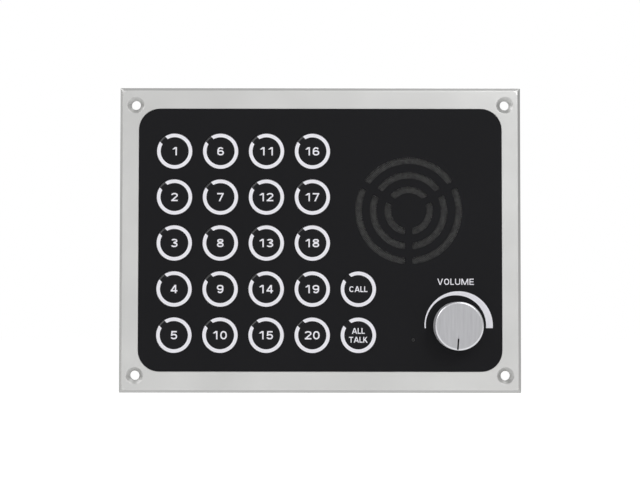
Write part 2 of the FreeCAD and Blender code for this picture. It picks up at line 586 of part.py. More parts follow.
def front_plate():
    """Aluminium plate: bevelled edge, foil recess, key holes, screw holes and gasket groove."""
    body = new_body("plate_body")
    slab = front_sketch(body, "plate_outline")
    draw_rounded_rectangle(slab, PLATE_WIDTH, PLATE_HEIGHT, "plate_corner")
    pad(body, slab, "plate_slab", "plate_thickness - bevel_depth")
    edge = front_sketch(body, "bevel_rear", BEVEL_REAR)
    draw_rounded_rectangle(edge, PLATE_WIDTH, PLATE_HEIGHT, "plate_corner")
    face = front_sketch(body, "bevel_front", PLATE_FRONT)
    face_size = [f"{size} - 2 * bevel_width" for size in (PLATE_WIDTH, PLATE_HEIGHT)]
    draw_rounded_rectangle(face, *face_size, "face_corner")
    bevel = body.newObject("PartDesign::AdditiveLoft", "plate_bevel")
    bevel.Profile = edge
    bevel.Sections = [face]
    bevel.Ruled = True
    recess = front_sketch(body, "foil_recess_outline", PLATE_FRONT)
    recess_size = [f"{size} + 2 * foil_gap" for size in (FOIL_WIDTH, FOIL_HEIGHT)]
    draw_rounded_rectangle(recess, *recess_size, "foil_corner + foil_gap")
    pocket(body, recess, "foil_recess", "foil_recess")
    seat = front_sketch(body, "mesh_recess_outline", FOIL_SEAT)
    draw_circle(seat, SPEAKER_X, SPEAKER_Z, "mesh_diameter + 2 * foil_gap")
    pocket(body, seat, "mesh_recess", "mesh_thickness")
    holes = front_sketch(body, "through_holes", f"{PLATE_FRONT} - 1")
    for _, x, z in KEYS:
        draw_circle(holes, x, z, KEY_HOLE)
    for x, z in PANEL_SCREWS:
        draw_circle(holes, x, z, "screw_hole")
    draw_circle(holes, KNOB_X, KNOB_Z, f"{BUSHING_DIAMETER} + 2 * bushing_gap")
    draw_circle(holes, MIC_X, MIC_Z, "mic_hole")
    pocket(body, holes, "plate_holes")
    groove = front_sketch(body, "groove_outline")
    gasket_rings(groove)
    pocket(body, groove, "gasket_groove", "gasket_depth", from_rear=True)
    threads = front_sketch(body, "thread_outline")
    for x, z in LUGS + CLIPS:
        draw_circle(threads, x, z, "thread + 2 * thread_gap")
    pocket(body, threads, "thread_holes", "plate_thread_depth", from_rear=True)
    sink_depth = "(countersink - screw_hole) / 2"
    sinks = [
        frustum("sink", x, z, (PLATE_FRONT, f"{PLATE_FRONT} + {sink_depth}"), "countersink",
                "screw_hole")
        for x, z in PANEL_SCREWS
    ]
    sunk = cut("plate_sunk", body, group("sinks", sinks))
    return node(cut("plate_final", sunk, slot_cutter("plate_slots")), "front_plate")


def gasket_rings(sketch):
    """The two outlines of the gasket and its groove, round the housing."""
    width = f"{HOUSING_WIDTH} + 2 * gasket_offset"
    height = f"{HOUSING_HEIGHT} + 2 * gasket_offset"
    draw_rounded_rectangle(sketch, width, height, "gasket_corner")
    inner_width = f"{width} - 2 * gasket_width"
    inner_height = f"{height} - 2 * gasket_width"
    draw_rounded_rectangle(sketch, inner_width, inner_height, "gasket_corner - gasket_width")


def panel_gasket():
    """Rubber ring in the rear of the plate, drawn pressed flush."""
    body = new_body("gasket_body")
    outline = front_sketch(body, "gasket_outline")
    gasket_rings(outline)
    pad(body, outline, "gasket_ring", "gasket_depth")
    return node(body, "panel_gasket")


def front_foil():
    """Black printed foil in the recess, open at the keys, the slots, the nut and the microphone."""
    body = new_body("foil_body")
    outline = front_sketch(body, "foil_outline", FOIL_SEAT)
    draw_rounded_rectangle(outline, FOIL_WIDTH, FOIL_HEIGHT, "foil_corner")
    for _, x, z in KEYS:
        draw_circle(outline, x, z, "key_diameter + 2 * key_foil_gap")
    draw_circle(outline, KNOB_X, KNOB_Z, NUT_ROOM)
    draw_circle(outline, MIC_X, MIC_Z, "mic_hole")
    pad(body, outline, "foil_sheet", "foil_thickness")
    return node(cut("foil_final", body, slot_cutter("foil_slots")), "front_foil")


def speaker_mesh():
    """Fine metal mesh between the foil and the plate."""
    span = (FOIL_SEAT, f"{FOIL_SEAT} + mesh_thickness")
    return node(disc("mesh", SPEAKER_X, SPEAKER_Z, span, "mesh_diameter"), "speaker_mesh")


def keys():
    """One plunger per key: cap with its disc of foil, flange, stem and a well for the lamp."""
    for name, x, z in KEYS:
        cap = disc("cap", "0", "0", (FOIL_FRONT, "key_flange_gap"), "key_diameter")
        flange = disc("flange", "0", "0", ("key_flange_gap", FLANGE_REAR), KEY_FLANGE)
        stem = disc("stem", "0", "0", (FLANGE_REAR, f"{SWITCH_FRONT} + stem_entry"), "key_stem")
        floor = f"{FOIL_FRONT} + 2 * foil_thickness"
        well = disc("well", f"-{WINDOW_OFFSET}", WINDOW_OFFSET, (floor, f"{FLANGE_REAR} + 1"),
                    "window_diameter")
        plunger = cut(f"{name}_plunger", fuse("key_blank", [cap, flange, stem]), well)
        node(place(plunger, x, "0", z), name)


# Sub-parts behind the keys


def key_board():
    """Circuit board behind the plate, cut away round the loudspeaker."""
    body = new_body("key_board_body")
    left = f"{KEY_FIRST_X} - key_board_margin"
    top = f"{KEY_FIRST_Z} + key_board_margin"
    foot = f"{KEY_LAST_Z} - key_board_foot"
    middle = f"{PILLAR_RIGHT} + key_board_foot"
    right = f"{KEY_FIRST_X} + {STATION_COLUMNS} * key_pitch + 2 * key_board_foot"
    step = f"{CALL_Z} + key_board_margin"
    outline = front_sketch(body, "key_board_outline", KEY_BOARD_FRONT)
    corners = [(left, foot), (right, foot), (right, step), (middle, step), (middle, top)]
    draw_polygon(outline, corners + [(left, top)])
    for x, z in PILLARS:
        draw_circle(outline, x, z, "thread + 2 * screw_gap")
    pad(body, outline, "key_board_sheet", "board_thickness", backwards=True)
    return node(body, "key_board")


def key_switches():
    """Sealed tactile switches on the key board, one behind each stem."""
    bodies = []
    bores = []
    half = "switch_width / 2"
    for _, x, z in KEYS:
        across = (f"{x} - {half}", f"{x} + {half}")
        up = (f"{z} - {half}", f"{z} + {half}")
        bodies.append(block("switch", across, (SWITCH_FRONT, KEY_BOARD_FRONT), up))
        floor = f"{SWITCH_FRONT} + stem_entry + key_travel + stem_end_gap"
        bores.append(disc("switch_bore", x, z, (f"{SWITCH_FRONT} - 1", floor),
                          "key_stem + 2 * stem_gap"))
    bored = cut("switches_bored", group("switches", bodies), group("switch_bores", bores))
    return node(bored, "key_switches")


def key_lamps():
    """Signal lamps on the key board, one behind each light well."""
    span = (f"{KEY_BOARD_FRONT} - lamp_height", KEY_BOARD_FRONT)
    lamps = [
        disc("lamp", f"{x} - {WINDOW_OFFSET}", f"{z} + {WINDOW_OFFSET}", span, "lamp_diameter")
        for _, x, z in KEYS
    ]
    return node(group("lamps", lamps), "key_lamps")


def board_pillars():
    """Hexagonal standoffs under the key board, and pillars from there to the main board."""
    made = []
    for x, z in PILLARS:
        standoff = hexagon("standoff", x, z, ("0", KEY_BOARD_FRONT), "pillar_flats")
        bore = disc("standoff_bore", x, z, ("0", KEY_BOARD_FRONT), "thread + 2 * thread_gap")
        made.append(cut("standoff_bored", standoff, bore))
        pillar = hexagon("pillar", x, z, (KEY_BOARD_REAR, MAIN_FRONT), "pillar_flats")
        stud = disc("pillar_stud", x, z, (f"{KEY_BOARD_FRONT} / 2", KEY_BOARD_REAR), "thread")
        top = disc("pillar_bore", x, z, (f"{MAIN_FRONT} - 3 * thread", MAIN_FRONT),
                   "thread + 2 * thread_gap")
        made.append(cut("pillar_bored", fuse("pillar_blank", [pillar, stud]), top))
    return node(group("pillars", made), "board_pillars")


def board_screws():
    """Screws that hold the main board to its pillars."""
    tip = f"{MAIN_FRONT} - 2 * thread"
    made = [screw(f"board_screw_{i}", x, z, MAIN_REAR, tip) for i, (x, z) in enumerate(PILLARS)]
    return node(group("board_screw_group", made), "board_screws")


def plate_screws():
    """Screws into the rear of the plate: at the housing's lugs and at the speaker clips."""
    tip = "thread_tip_gap - plate_thread_depth"
    made = [screw(f"lug_screw_{i}", x, z, "housing_sheet", tip) for i, (x, z) in enumerate(LUGS)]
    seat = f"{BASKET_FRONT} + speaker_sheet + clip_thickness"
    made += [screw(f"clip_screw_{i}", x, z, seat, tip) for i, (x, z) in enumerate(CLIPS)]
    return node(group("plate_screw_group", made), "plate_screws")


# Loudspeaker


def speaker_gasket():
    """Foam ring between the plate and the speaker frame."""
    inner = f"{SURROUND_DIAMETER} + 2 * speaker_gasket_gap"
    foam = ring("foam", SPEAKER_X, SPEAKER_Z, ("0", BASKET_FRONT), "frame_diameter", inner)
    return node(foam, "speaker_gasket")


def speaker_basket():
    """Pressed steel basket with four windows in its wall."""
    flange_rear = f"{BASKET_FRONT} + speaker_sheet"
    profile = [
        ("frame_diameter / 2", BASKET_FRONT),
        ("frame_diameter / 2", flange_rear),
        (f"{BASKET_MOUTH} / 2 + speaker_sheet", flange_rear),
        ("basket_seat / 2 + speaker_sheet", MOTOR_FRONT),
        ("basket_neck / 2", MOTOR_FRONT),
        ("basket_neck / 2", BASKET_REAR),
        ("basket_seat / 2", BASKET_REAR),
        (f"{BASKET_MOUTH} / 2", BASKET_FRONT),
    ]
    body = turned("basket_body", SPEAKER_X, SPEAKER_Z, profile)
    middle = f"({BASKET_FRONT} + {BASKET_REAR} + speaker_sheet) / 2"
    windows = []
    for name, axis in (("window_across", V(0, 1, 0)), ("window_up", V(0, 0, 1))):
        item = doc.addObject("Part::Cylinder", name)
        bind(item, {"Radius": "basket_window / 2", "Height": "frame_diameter"})
        turn = 90 if axis.y else 0
        item.Placement = FreeCAD.Placement(V(), FreeCAD.Rotation(axis, turn))
        x = f"{SPEAKER_X} - frame_diameter / 2" if axis.y else SPEAKER_X
        z = SPEAKER_Z if axis.y else f"{SPEAKER_Z} - frame_diameter / 2"
        windows.append(place(item, x, middle, z))
    return node(cut("basket_cut", body, fuse("basket_windows", windows)), "speaker_basket")


def speaker_motor():
    """Front washer, ring magnet and yoke with its pole."""
    at = (SPEAKER_X, SPEAKER_Z)
    gap_outer = "coil_diameter + 2 * coil_gap"
    washer = ring("front_washer", *at, (MOTOR_FRONT, MAGNET_FRONT), MOTOR_DIAMETER, gap_outer)
    node(washer, "speaker_front_washer")
    magnet = ring("ring_magnet", *at, (MAGNET_FRONT, MAGNET_REAR), "magnet_diameter",
                  "magnet_bore")
    node(magnet, "speaker_magnet")
    pole_diameter = "coil_diameter - 2 * coil_wall - 2 * coil_gap"
    plate = disc("yoke_plate", *at, (MAGNET_REAR, f"{MAGNET_REAR} + yoke_thickness"),
                 MOTOR_DIAMETER)
    pole = disc("yoke_pole", *at, (MOTOR_FRONT, MAGNET_REAR), pole_diameter)
    node(fuse("yoke", [plate, pole]), "speaker_yoke")


def speaker_cone():
    """Paper cone with its flat rim and dust cap, and the voice coil behind it."""
    rim = f"({CONE_DIAMETER} / 2 - cone_rim)"
    neck = "(coil_diameter / 2)"
    depth = "(basket_depth - cone_clearance)"
    back = f"({BASKET_FRONT} + {depth})"
    profile = [
        (f"{CONE_DIAMETER} / 2", BASKET_FRONT),
        (f"{CONE_DIAMETER} / 2", f"{BASKET_FRONT} + cone_thickness"),
        (rim, f"{BASKET_FRONT} + cone_thickness"),
        (neck, f"{back} + cone_thickness"),
        (neck, back),
        (rim, BASKET_FRONT),
    ]
    cone = turned("cone_body", SPEAKER_X, SPEAKER_Z, profile)
    seat = f"({BASKET_FRONT} + ({rim} - cap_radius) * {depth} / ({rim} - {neck}))"
    radius = "((cap_radius ^ 2 + cap_rise ^ 2) / (2 * cap_rise))"
    shells = []
    for name, wall in (("cap_outer", "0"), ("cap_inner", "cone_thickness")):
        ball = doc.addObject("Part::Sphere", name)
        bind(ball, {"Radius": f"{radius} - {wall}"})
        shells.append(place(ball, SPEAKER_X, f"{seat} - cap_rise + {radius}", SPEAKER_Z))
    shell = cut("cap_shell", *shells)
    glue = f"{seat} + cone_thickness / 2"
    keep = disc("cap_reach", SPEAKER_X, SPEAKER_Z, (f"{seat} - 2 * cap_rise", glue),
                "2 * cap_radius + 2 * cone_thickness")
    cap = doc.addObject("Part::Common", "dust_cap")
    cap.Base = shell
    cap.Tool = keep
    node(fuse("cone_with_cap", [cone, cap]), "speaker_cone")
    start = f"{back} - cone_thickness"
    coil = ring("coil", SPEAKER_X, SPEAKER_Z, (start, f"{start} + coil_length"),
                "coil_diameter", "coil_diameter - 2 * coil_wall")
    node(coil, "voice_coil")


def speaker_surround():
    """Rubber surround: outer rim on the basket, half roll, and the lap on the cone."""
    middle = f"({CONE_DIAMETER} / 2 + cone_thickness + roll_radius)"
    base = f"({BASKET_FRONT} - cone_thickness)"
    inner = "(roll_radius - cone_thickness)"
    front = []
    back = []
    for angle in range(0, 181, ROLL_STEP):
        across = f"cos({angle} deg)"
        rise = f"sin({angle} deg)"
        front.append((f"{middle} - roll_radius * {across}", f"{base} - roll_radius * {rise}"))
        back.append((f"{middle} - {inner} * {across}", f"{base} - {inner} * {rise}"))
    lap = f"{CONE_DIAMETER} / 2 - cone_rim"
    rim = f"{SURROUND_DIAMETER} / 2"
    profile = [(lap, BASKET_FRONT), (lap, base)] + front + [(rim, base), (rim, BASKET_FRONT)]
    profile += [(back[-1][0], BASKET_FRONT)] + back[::-1] + [(back[0][0], BASKET_FRONT)]
    node(turned("surround_body", SPEAKER_X, SPEAKER_Z, profile), "speaker_surround")


def speaker_spider():
    """Corrugated disc that centres the voice coil, glued to the basket's seat."""
    inner = "(coil_diameter / 2 + spider_gap)"
    outer = "(basket_seat / 2)"
    pitch = f"(({outer} - {inner}) / {SPIDER_FOLDS})"
    base = f"({BASKET_REAR} - cone_thickness)"
    front = []
    back = []
    for count in range(SPIDER_FOLDS + 1):
        radius = f"{inner} + {count} * {pitch}"
        lift = " - cone_thickness" if count % 2 else ""
        front.append((radius, f"{base}{lift}"))
        back.append((radius, f"{base} + cone_thickness{lift}"))
    body = turned("spider_body", SPEAKER_X, SPEAKER_Z, front + back[::-1])
    node(body, "speaker_spider")


def speaker_clips():
    """Stepped clamps that hold the speaker frame to the plate."""
    made = []
    frame_rear = f"{BASKET_FRONT} + speaker_sheet"
    for x, z in CLIPS:
        neck = disc("clip_neck", x, z, ("0", frame_rear), "clip_neck")
        finger = disc("clip_finger", x, z, (frame_rear, f"{frame_rear} + clip_thickness"),
                      "clip_diameter")
        bore = disc("clip_bore", x, z, ("-1", f"{frame_rear} + clip_thickness + 1"),
                    "thread + 2 * screw_gap")
        made.append(cut("clip", fuse("clip_blank", [neck, finger]), bore))
    return node(group("clips", made), "speaker_clips")


# Volume control and microphone


def volume_knob():
    """Turned aluminium knob with a chamfered face, a pointer line, and its grub screw."""
    bore = "shaft_diameter / 2 + shaft_gap / 2"
    profile = [
        ("0", KNOB_FRONT),
        ("knob_diameter / 2 - knob_chamfer", KNOB_FRONT),
        ("knob_diameter / 2", f"{KNOB_FRONT} + knob_chamfer_depth"),
        ("knob_diameter / 2", KNOB_REAR),
        (f"{NUT_ROOM} / 2", KNOB_REAR),
        (f"{NUT_ROOM} / 2", KNOB_FLOOR),
        (bore, KNOB_FLOOR),
        (bore, BORE_FLOOR),
        ("0", BORE_FLOOR),
    ]
    body = turned("knob_body", KNOB_X, KNOB_Z, profile)
    line = block("pointer_line", span_about("0", "pointer_width"),
                 (f"{KNOB_FRONT} - 1", f"{KNOB_FRONT} + pointer_depth"),
                 ("-(knob_diameter / 2 + 1)", "pointer_length - knob_diameter / 2"))
    pointer = group("pointer", [line])
    pointer.Placement = FreeCAD.Placement(V(), FreeCAD.Rotation(V(0, 1, 0), 1))
    bind(pointer, {"Placement.Rotation.Angle": "pointer_lean"})
    place(pointer, KNOB_X, "0", KNOB_Z)
    grub_y = f"({KNOB_FLOOR} + {BORE_FLOOR}) / 2"
    hole = doc.addObject("Part::Cylinder", "grub_hole")
    bind(hole, {"Radius": "thread / 2 + thread_gap", "Height": "knob_diameter"})
    place(hole, KNOB_X, grub_y, f"{KNOB_Z} + shaft_diameter / 4")
    node(cut("knob_final", body, fuse("knob_cuts", [pointer, hole])), "volume_knob")
    grub = doc.addObject("Part::Cylinder", "grub_blank")
    bind(grub, {"Radius": "thread / 2", "Height": "grub_length"})
    foot = f"{KNOB_Z} + shaft_diameter / 2"
    place(grub, KNOB_X, grub_y, foot)
    socket = doc.addObject("Part::Prism", "grub_socket")
    socket.Polygon = 6
    bind(socket, {"Circumradius": "socket_flats / 2", "Height": "thread"})
    place(socket, KNOB_X, grub_y, f"{foot} + grub_length - thread / 2")
    node(cut("grub_final", grub, socket), "knob_grub_screw")


def potentiometer():
    """Potentiometer: shaft with its rotor, body with three tags, threaded bushing and nut."""
    at = (KNOB_X, KNOB_Z)
    rotor = ("(pot_wall + rotor_gap)", "(pot_depth - pot_wall - rotor_gap)")
    rod = disc("shaft_rod", *at, (f"{BORE_FLOOR} + rotor_gap", rotor[1]), "shaft_diameter")
    wheel = disc("shaft_rotor", *at, rotor, "pot_diameter - 2 * pot_wall - 2 * rotor_gap")
    node(fuse("shaft", [rod, wheel]), "pot_shaft")
    cup = disc("pot_cup", *at, ("0", "pot_depth"), "pot_diameter")
    cavity = disc("pot_cavity", *at, ("pot_wall", "pot_depth - pot_wall"),
                  "pot_diameter - 2 * pot_wall")
    bore = disc("pot_bore", *at, ("-1", "pot_wall + 1"), SHAFT_BORE)
    edge = f"{KNOB_Z} - pot_diameter / 2"
    tags = [
        block("pot_tag", span_about(f"{KNOB_X} + {count} * tag_pitch", "tag_width"),
              ("pot_depth - pot_wall", "pot_depth - pot_wall + tag_thickness"),
              (f"{edge} - tag_length", f"{edge} + tag_width"))
        for count in (-1, 0, 1)
    ]
    shell = cut("pot_shell", fuse("pot_blank", [cup] + tags), fuse("pot_room", [cavity, bore]))
    node(shell, "pot_body")
    node(ring("bushing", *at, (BUSHING_FRONT, "0"), BUSHING_DIAMETER, SHAFT_BORE), "pot_bushing")
    nut = hexagon("nut_blank", *at, (NUT_FRONT, FOIL_SEAT), NUT_FLATS)
    hole = disc("nut_bore", *at, (NUT_FRONT, FOIL_SEAT), f"{BUSHING_DIAMETER} + bushing_gap")
    node(cut("nut", nut, hole), "pot_nut")


def microphone():
    """Electret capsule in a rubber boot behind the sound hole."""
    at = (MIC_X, MIC_Z)
    rear = "boot_floor + mic_depth"
    cup = disc("boot_cup", *at, ("0", rear), "mic_diameter + 2 * boot_wall")
    room = disc("boot_room", *at, ("boot_floor", f"{rear} + 1"), "mic_diameter")
    hole = disc("boot_hole", *at, ("-1", "boot_floor + 1"), "mic_hole")
    node(cut("boot", cup, fuse("boot_cuts", [room, hole])), "mic_boot")
    node(disc("capsule", *at, ("boot_floor", rear), "mic_diameter"), "mic_capsule")


# Main board


def main_board():
    """Amplifier and line board on the pillars."""
    body = new_body("main_board_body")
    outline = front_sketch(body, "main_board_outline", MAIN_FRONT)
    left = f"{PILLAR_LEFT} - main_board_edge"
    foot = f"{PILLAR_FOOT} - main_board_foot"
    top = f"{PILLAR_TOP} + main_board_top"
    draw_polygon(outline, [(left, foot), (BOARD_RIGHT, foot), (BOARD_RIGHT, top), (left, top)])
    for x, z in PILLARS:
        draw_circle(outline, x, z, "thread + 2 * screw_gap")
    pad(body, outline, "main_board_sheet", "board_thickness", backwards=True)
    return node(body, "main_board")


def terminal_row(count):
    """The place of a row of terminals: its height, and its ends across."""
    z = f"({PILLAR_TOP} - terminal_drop - {count} * terminal_row_pitch)"
    half = f"{TERMINAL_LENGTH} / 2"
    return z, (f"{TERMINAL_X} - {half}", f"{TERMINAL_X} + {half}")


def terminals():
    """Sockets on the main board and the screw-terminal plugs in them, for the field wiring."""
    sockets = []
    plugs = []
    for count in range(TERMINAL_ROWS):
        z, across = terminal_row(count)
        shell = block("socket_shell", across, (MAIN_REAR, SOCKET_MOUTH), span_about(z, "socket_height"))
        room_across = (f"{across[0]} + socket_wall", f"{across[1]} - socket_wall")
        room = block("socket_room", room_across, (f"{MAIN_REAR} + socket_floor", f"{SOCKET_MOUTH} + 1"),
                     span_about(z, "socket_height - 2 * socket_wall"))
        sockets.append(cut("socket", shell, room))
        tongue_across = (f"{room_across[0]} + plug_gap", f"{room_across[1]} - plug_gap")
        tongue = block("plug_tongue", tongue_across,
                       (f"{MAIN_REAR} + socket_floor + plug_gap", f"{SOCKET_MOUTH} + plug_gap"),
                       span_about(z, "socket_height - 2 * socket_wall - 2 * plug_gap"))
        rear = f"{SOCKET_MOUTH} + plug_gap + plug_depth"
        grip = block("plug_grip", across, (f"{SOCKET_MOUTH} + plug_gap", rear),
                     span_about(z, "plug_height"))
        entries = []
        for way in range(TERMINAL_WAYS):
            x = f"{across[0]} + terminal_end + {way + 0.5} * terminal_pitch"
            entries.append(disc("entry", x, z, (f"{rear} - wire_depth", f"{rear} + 1"),
                                "wire_entry"))
        plug = fuse("plug_blank", [tongue, grip])
        plugs.append(cut("plug", plug, group("entries", entries)))
    node(group("sockets", sockets), "terminal_sockets")
    node(group("plugs", plugs), "terminal_plugs")


def transformers():
    """Two audio line transformers: laminated core and coil."""
    made = []
    rear = f"{MAIN_REAR} + transformer_depth"
    z = f"({PILLAR_TOP} - transformer_drop)"
    for side in (-0.5, 0.5):
        x = f"({TERMINAL_X} + {side} * transformer_pitch)"
        core = block("core", span_about(x, "transformer_width"), (MAIN_REAR, rear),
                     span_about(z, "transformer_core"))
        coil = block("coil_block", span_about(x, "coil_width"), (MAIN_REAR, f"{rear} - coil_inset"),
                     span_about(z, "transformer_coil"))
        made.append(fuse("transformer", [core, coil]))
    return node(group("transformer_pair", made), "line_transformers")


def capacitors():
    """Electrolytic cans on the right of the main board."""
    made = []
    for column in (0, 1):
        for line in (0, 1):
            x = f"{BOARD_RIGHT} - {column + 0.5} * can_pitch"
            z = f"{PILLAR_TOP} - {line + 1} * can_pitch"
            made.append(disc("can", x, z, (MAIN_REAR, f"{MAIN_REAR} + can_height"),
                             "can_diameter"))
    return node(group("cans", made), "capacitors")


def ribbon_cable():
    """Flat cable looped below the boards, with a pressed-on connector at each board."""
    across = span_about(TERMINAL_X, "ribbon_width")
    key_edge = f"({KEY_LAST_Z} - key_board_foot + connector_inset)"
    main_edge = f"({PILLAR_FOOT} - main_board_foot + connector_inset)"
    shells = [
        block("key_connector", across, (KEY_BOARD_REAR, f"{KEY_BOARD_REAR} + connector_height"),
              (key_edge, f"{key_edge} + connector_width")),
        block("main_connector", across, (f"{MAIN_FRONT} - connector_height", MAIN_FRONT),
              (main_edge, f"{main_edge} + connector_width")),
    ]
    near = f"({KEY_BOARD_REAR} + connector_height / 2)"
    far = f"({MAIN_FRONT} - connector_height / 2)"
    loop = f"({KEY_LAST_Z} - key_board_foot - ribbon_slack)"
    low = f"({loop} + ribbon_bend)"
    inner = "(ribbon_bend - ribbon_thickness)"
    runs = [
        block("ribbon_near", across, (near, f"{near} + ribbon_thickness"), (low, key_edge)),
        block("ribbon_far", across, (f"{far} - ribbon_thickness", far), (low, main_edge)),
        block("ribbon_floor", across, (f"{near} + ribbon_bend", f"{far} - ribbon_bend"),
              (loop, f"{loop} + ribbon_thickness")),
    ]
    along = V(1, 0, 0)
    near_turn = FreeCAD.Rotation(V(0, -1, 0), V(0, 0, -1), along)
    far_turn = FreeCAD.Rotation(V(0, 0, -1), V(0, 1, 0), along)
    for name, y, turn in (("near_bend", f"{near} + ribbon_bend", near_turn),
                          ("far_bend", f"{far} - ribbon_bend", far_turn)):
        bends = []
        for part_name, radius in (("outer", "ribbon_bend"), ("inner", inner)):
            quarter = doc.addObject("Part::Cylinder", f"{name}_{part_name}")
            quarter.Angle = 90
            bind(quarter, {"Radius": radius, "Height": "ribbon_width"})
            quarter.Placement = FreeCAD.Placement(V(), turn)
            bends.append(place(quarter, across[0], y, low))
        runs.append(cut(name, *bends))
    return node(fuse("ribbon", shells + runs), "ribbon_cable")


# Housing


def rear_housing():
    """Folded sheet housing with a rear lip and four front lugs."""
    body = new_body("housing_body")
    walls = front_sketch(body, "housing_walls")
    draw_rounded_rectangle(walls, HOUSING_WIDTH, HOUSING_HEIGHT, "housing_corner")
    inner = [f"{size} - 2 * housing_sheet" for size in (HOUSING_WIDTH, HOUSING_HEIGHT)]
    draw_rounded_rectangle(walls, *inner, "housing_corner - housing_sheet")
    pad(body, walls, "housing_wrap", HOUSING_REAR, backwards=True)
    lip = front_sketch(body, "housing_lip_outline", f"{HOUSING_REAR} - housing_sheet")
    draw_rounded_rectangle(lip, *inner, "housing_corner - housing_sheet")
    opening = [f"{size} - 2 * housing_lip" for size in inner]
    draw_rounded_rectangle(lip, *opening, "housing_corner")
    pad(body, lip, "housing_rear_lip", "housing_sheet", backwards=True)
    threads = front_sketch(body, "lip_holes", f"{HOUSING_REAR} - 2 * housing_sheet")
    for x, z in COVER_SCREWS:
        draw_circle(threads, x, z, "thread + 2 * thread_gap")
    pocket(body, threads, "lip_threads", "3 * housing_sheet")
    lugs = []
    wall = f"({HOUSING_HEIGHT} / 2 - housing_sheet / 2)"
    for x, z in LUGS:
        upper = z == LUG_Z
        ends = (z, wall) if upper else (f"-{wall}", z)
        tab = block("lug_tab", span_about(x, "lug_width"), ("0", "housing_sheet"), ends)
        nose = disc("lug_nose", x, z, ("0", "housing_sheet"), "lug_width")
        hole = disc("lug_hole", x, z, ("-1", "2 * housing_sheet"), "thread + 2 * screw_gap")
        lugs.append(cut("lug", fuse("lug_blank", [tab, nose]), hole))
    return node(fuse("housing_final", [body] + lugs), "rear_housing")


def rear_cover():
    """Flat cover with a window for each terminal plug, four countersunk holes and the stud hole."""
    body = new_body("cover_body")
    outline = front_sketch(body, "cover_outline", HOUSING_REAR)
    draw_rounded_rectangle(outline, HOUSING_WIDTH, HOUSING_HEIGHT, "housing_corner")
    for x, z in COVER_SCREWS:
        draw_circle(outline, x, z, "thread + 2 * screw_gap")
    draw_circle(outline, EARTH_X, EARTH_Z, "earth_shoulder")
    pad(body, outline, "cover_sheet", "housing_sheet", backwards=True)
    windows = []
    for count in range(TERMINAL_ROWS):
        z, across = terminal_row(count)
        windows.append(block("cover_window",
                             (f"{across[0]} - window_gap", f"{across[1]} + window_gap"),
                             (f"{HOUSING_REAR} - 1", f"{COVER_REAR} + 1"),
                             span_about(z, "plug_height + 2 * window_gap")))
    sinks = [frustum("cover_sink", x, z, (HOUSING_REAR, COVER_REAR), "thread + 2 * screw_gap",
                     "cover_sink") for x, z in COVER_SCREWS]
    return node(cut("cover_final", body, group("cover_cuts", windows + sinks)), "rear_cover")


def cover_screws():
    """Countersunk screws of the rear cover."""
    made = []
    tip = f"{COVER_REAR} - cover_screw_length"
    for x, z in COVER_SCREWS:
        head = frustum("sunk_head", x, z, (HOUSING_REAR, COVER_REAR), "thread",
                       "cover_sink - 2 * screw_gap")
        shank = disc("sunk_shank", x, z, (tip, COVER_REAR), "thread")
        socket = hexagon("sunk_socket", x, z,
                         (f"{COVER_REAR} - housing_sheet / 2", f"{COVER_REAR} + 1"),
                         "socket_flats")
        made.append(cut("sunk_screw", fuse("sunk_blank", [head, shank]), socket))
    return node(group("sunk_screws", made), "rear_cover_screws")


def earth_stud():
    """Earth stud pressed through the rear cover."""
    at = (EARTH_X, EARTH_Z)
    head = disc("stud_head", *at, (f"{HOUSING_REAR} - earth_head_height", HOUSING_REAR),
                "earth_head")
    shoulder = disc("stud_shoulder", *at, (HOUSING_REAR, COVER_REAR), "earth_shoulder")
    shank = disc("stud_shank", *at, (COVER_REAR, f"{COVER_REAR} + earth_length"),
                 "earth_diameter")
    return node(fuse("stud", [head, shoulder, shank]), "earth_stud")


for make in (
    front_plate,
    front_foil,
    panel_gasket,
    speaker_mesh,
    keys,
    key_board,
    key_switches,
    key_lamps,
    board_pillars,
    board_screws,
    plate_screws,
    speaker_gasket,
    speaker_basket,
    speaker_motor,
    speaker_cone,
    speaker_surround,
    speaker_spider,
    speaker_clips,
    volume_knob,
    potentiometer,
    microphone,
    main_board,
    terminals,
    transformers,
    capacitors,
    ribbon_cable,
    rear_housing,
    rear_cover,
    cover_screws,
    earth_stud,
):
    make()
doc.recompute()

failed = [
    f"{item.Label}: {item.State}"
    for item in doc.Objects
    if "Invalid" in item.State or "Error" in item.State
]
for item in nodes:
    if item.Shape.isNull() or not item.Shape.isValid() or not item.Shape.Solids:
        failed.append(f"{item.Label}: no valid solid")
if failed:
    raise RuntimeError("; ".join(failed))

os.makedirs("parts", exist_ok=True)
for item in nodes:
    item.Shape.exportStep(f"parts/{item.Label}.step")
    box = item.Shape.BoundBox
    print(
        f"{item.Label:22s} {len(item.Shape.Solids):3d} solids {item.Shape.Volume:10.1f} mm3",
        f"x {box.XMin:7.2f} {box.XMax:7.2f} y {box.YMin:7.2f} {box.YMax:7.2f}",
        f"z {box.ZMin:7.2f} {box.ZMax:7.2f}",
    )
print(len(nodes), "nodes")
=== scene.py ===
"""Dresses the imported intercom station: plate, foil, keys, prints, mesh, knob, housing and terminals.

Lengths are metres. X runs right, Z up and the front looks along -Y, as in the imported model, so each
piece takes its place from the node that it stands for or lies on.
"""

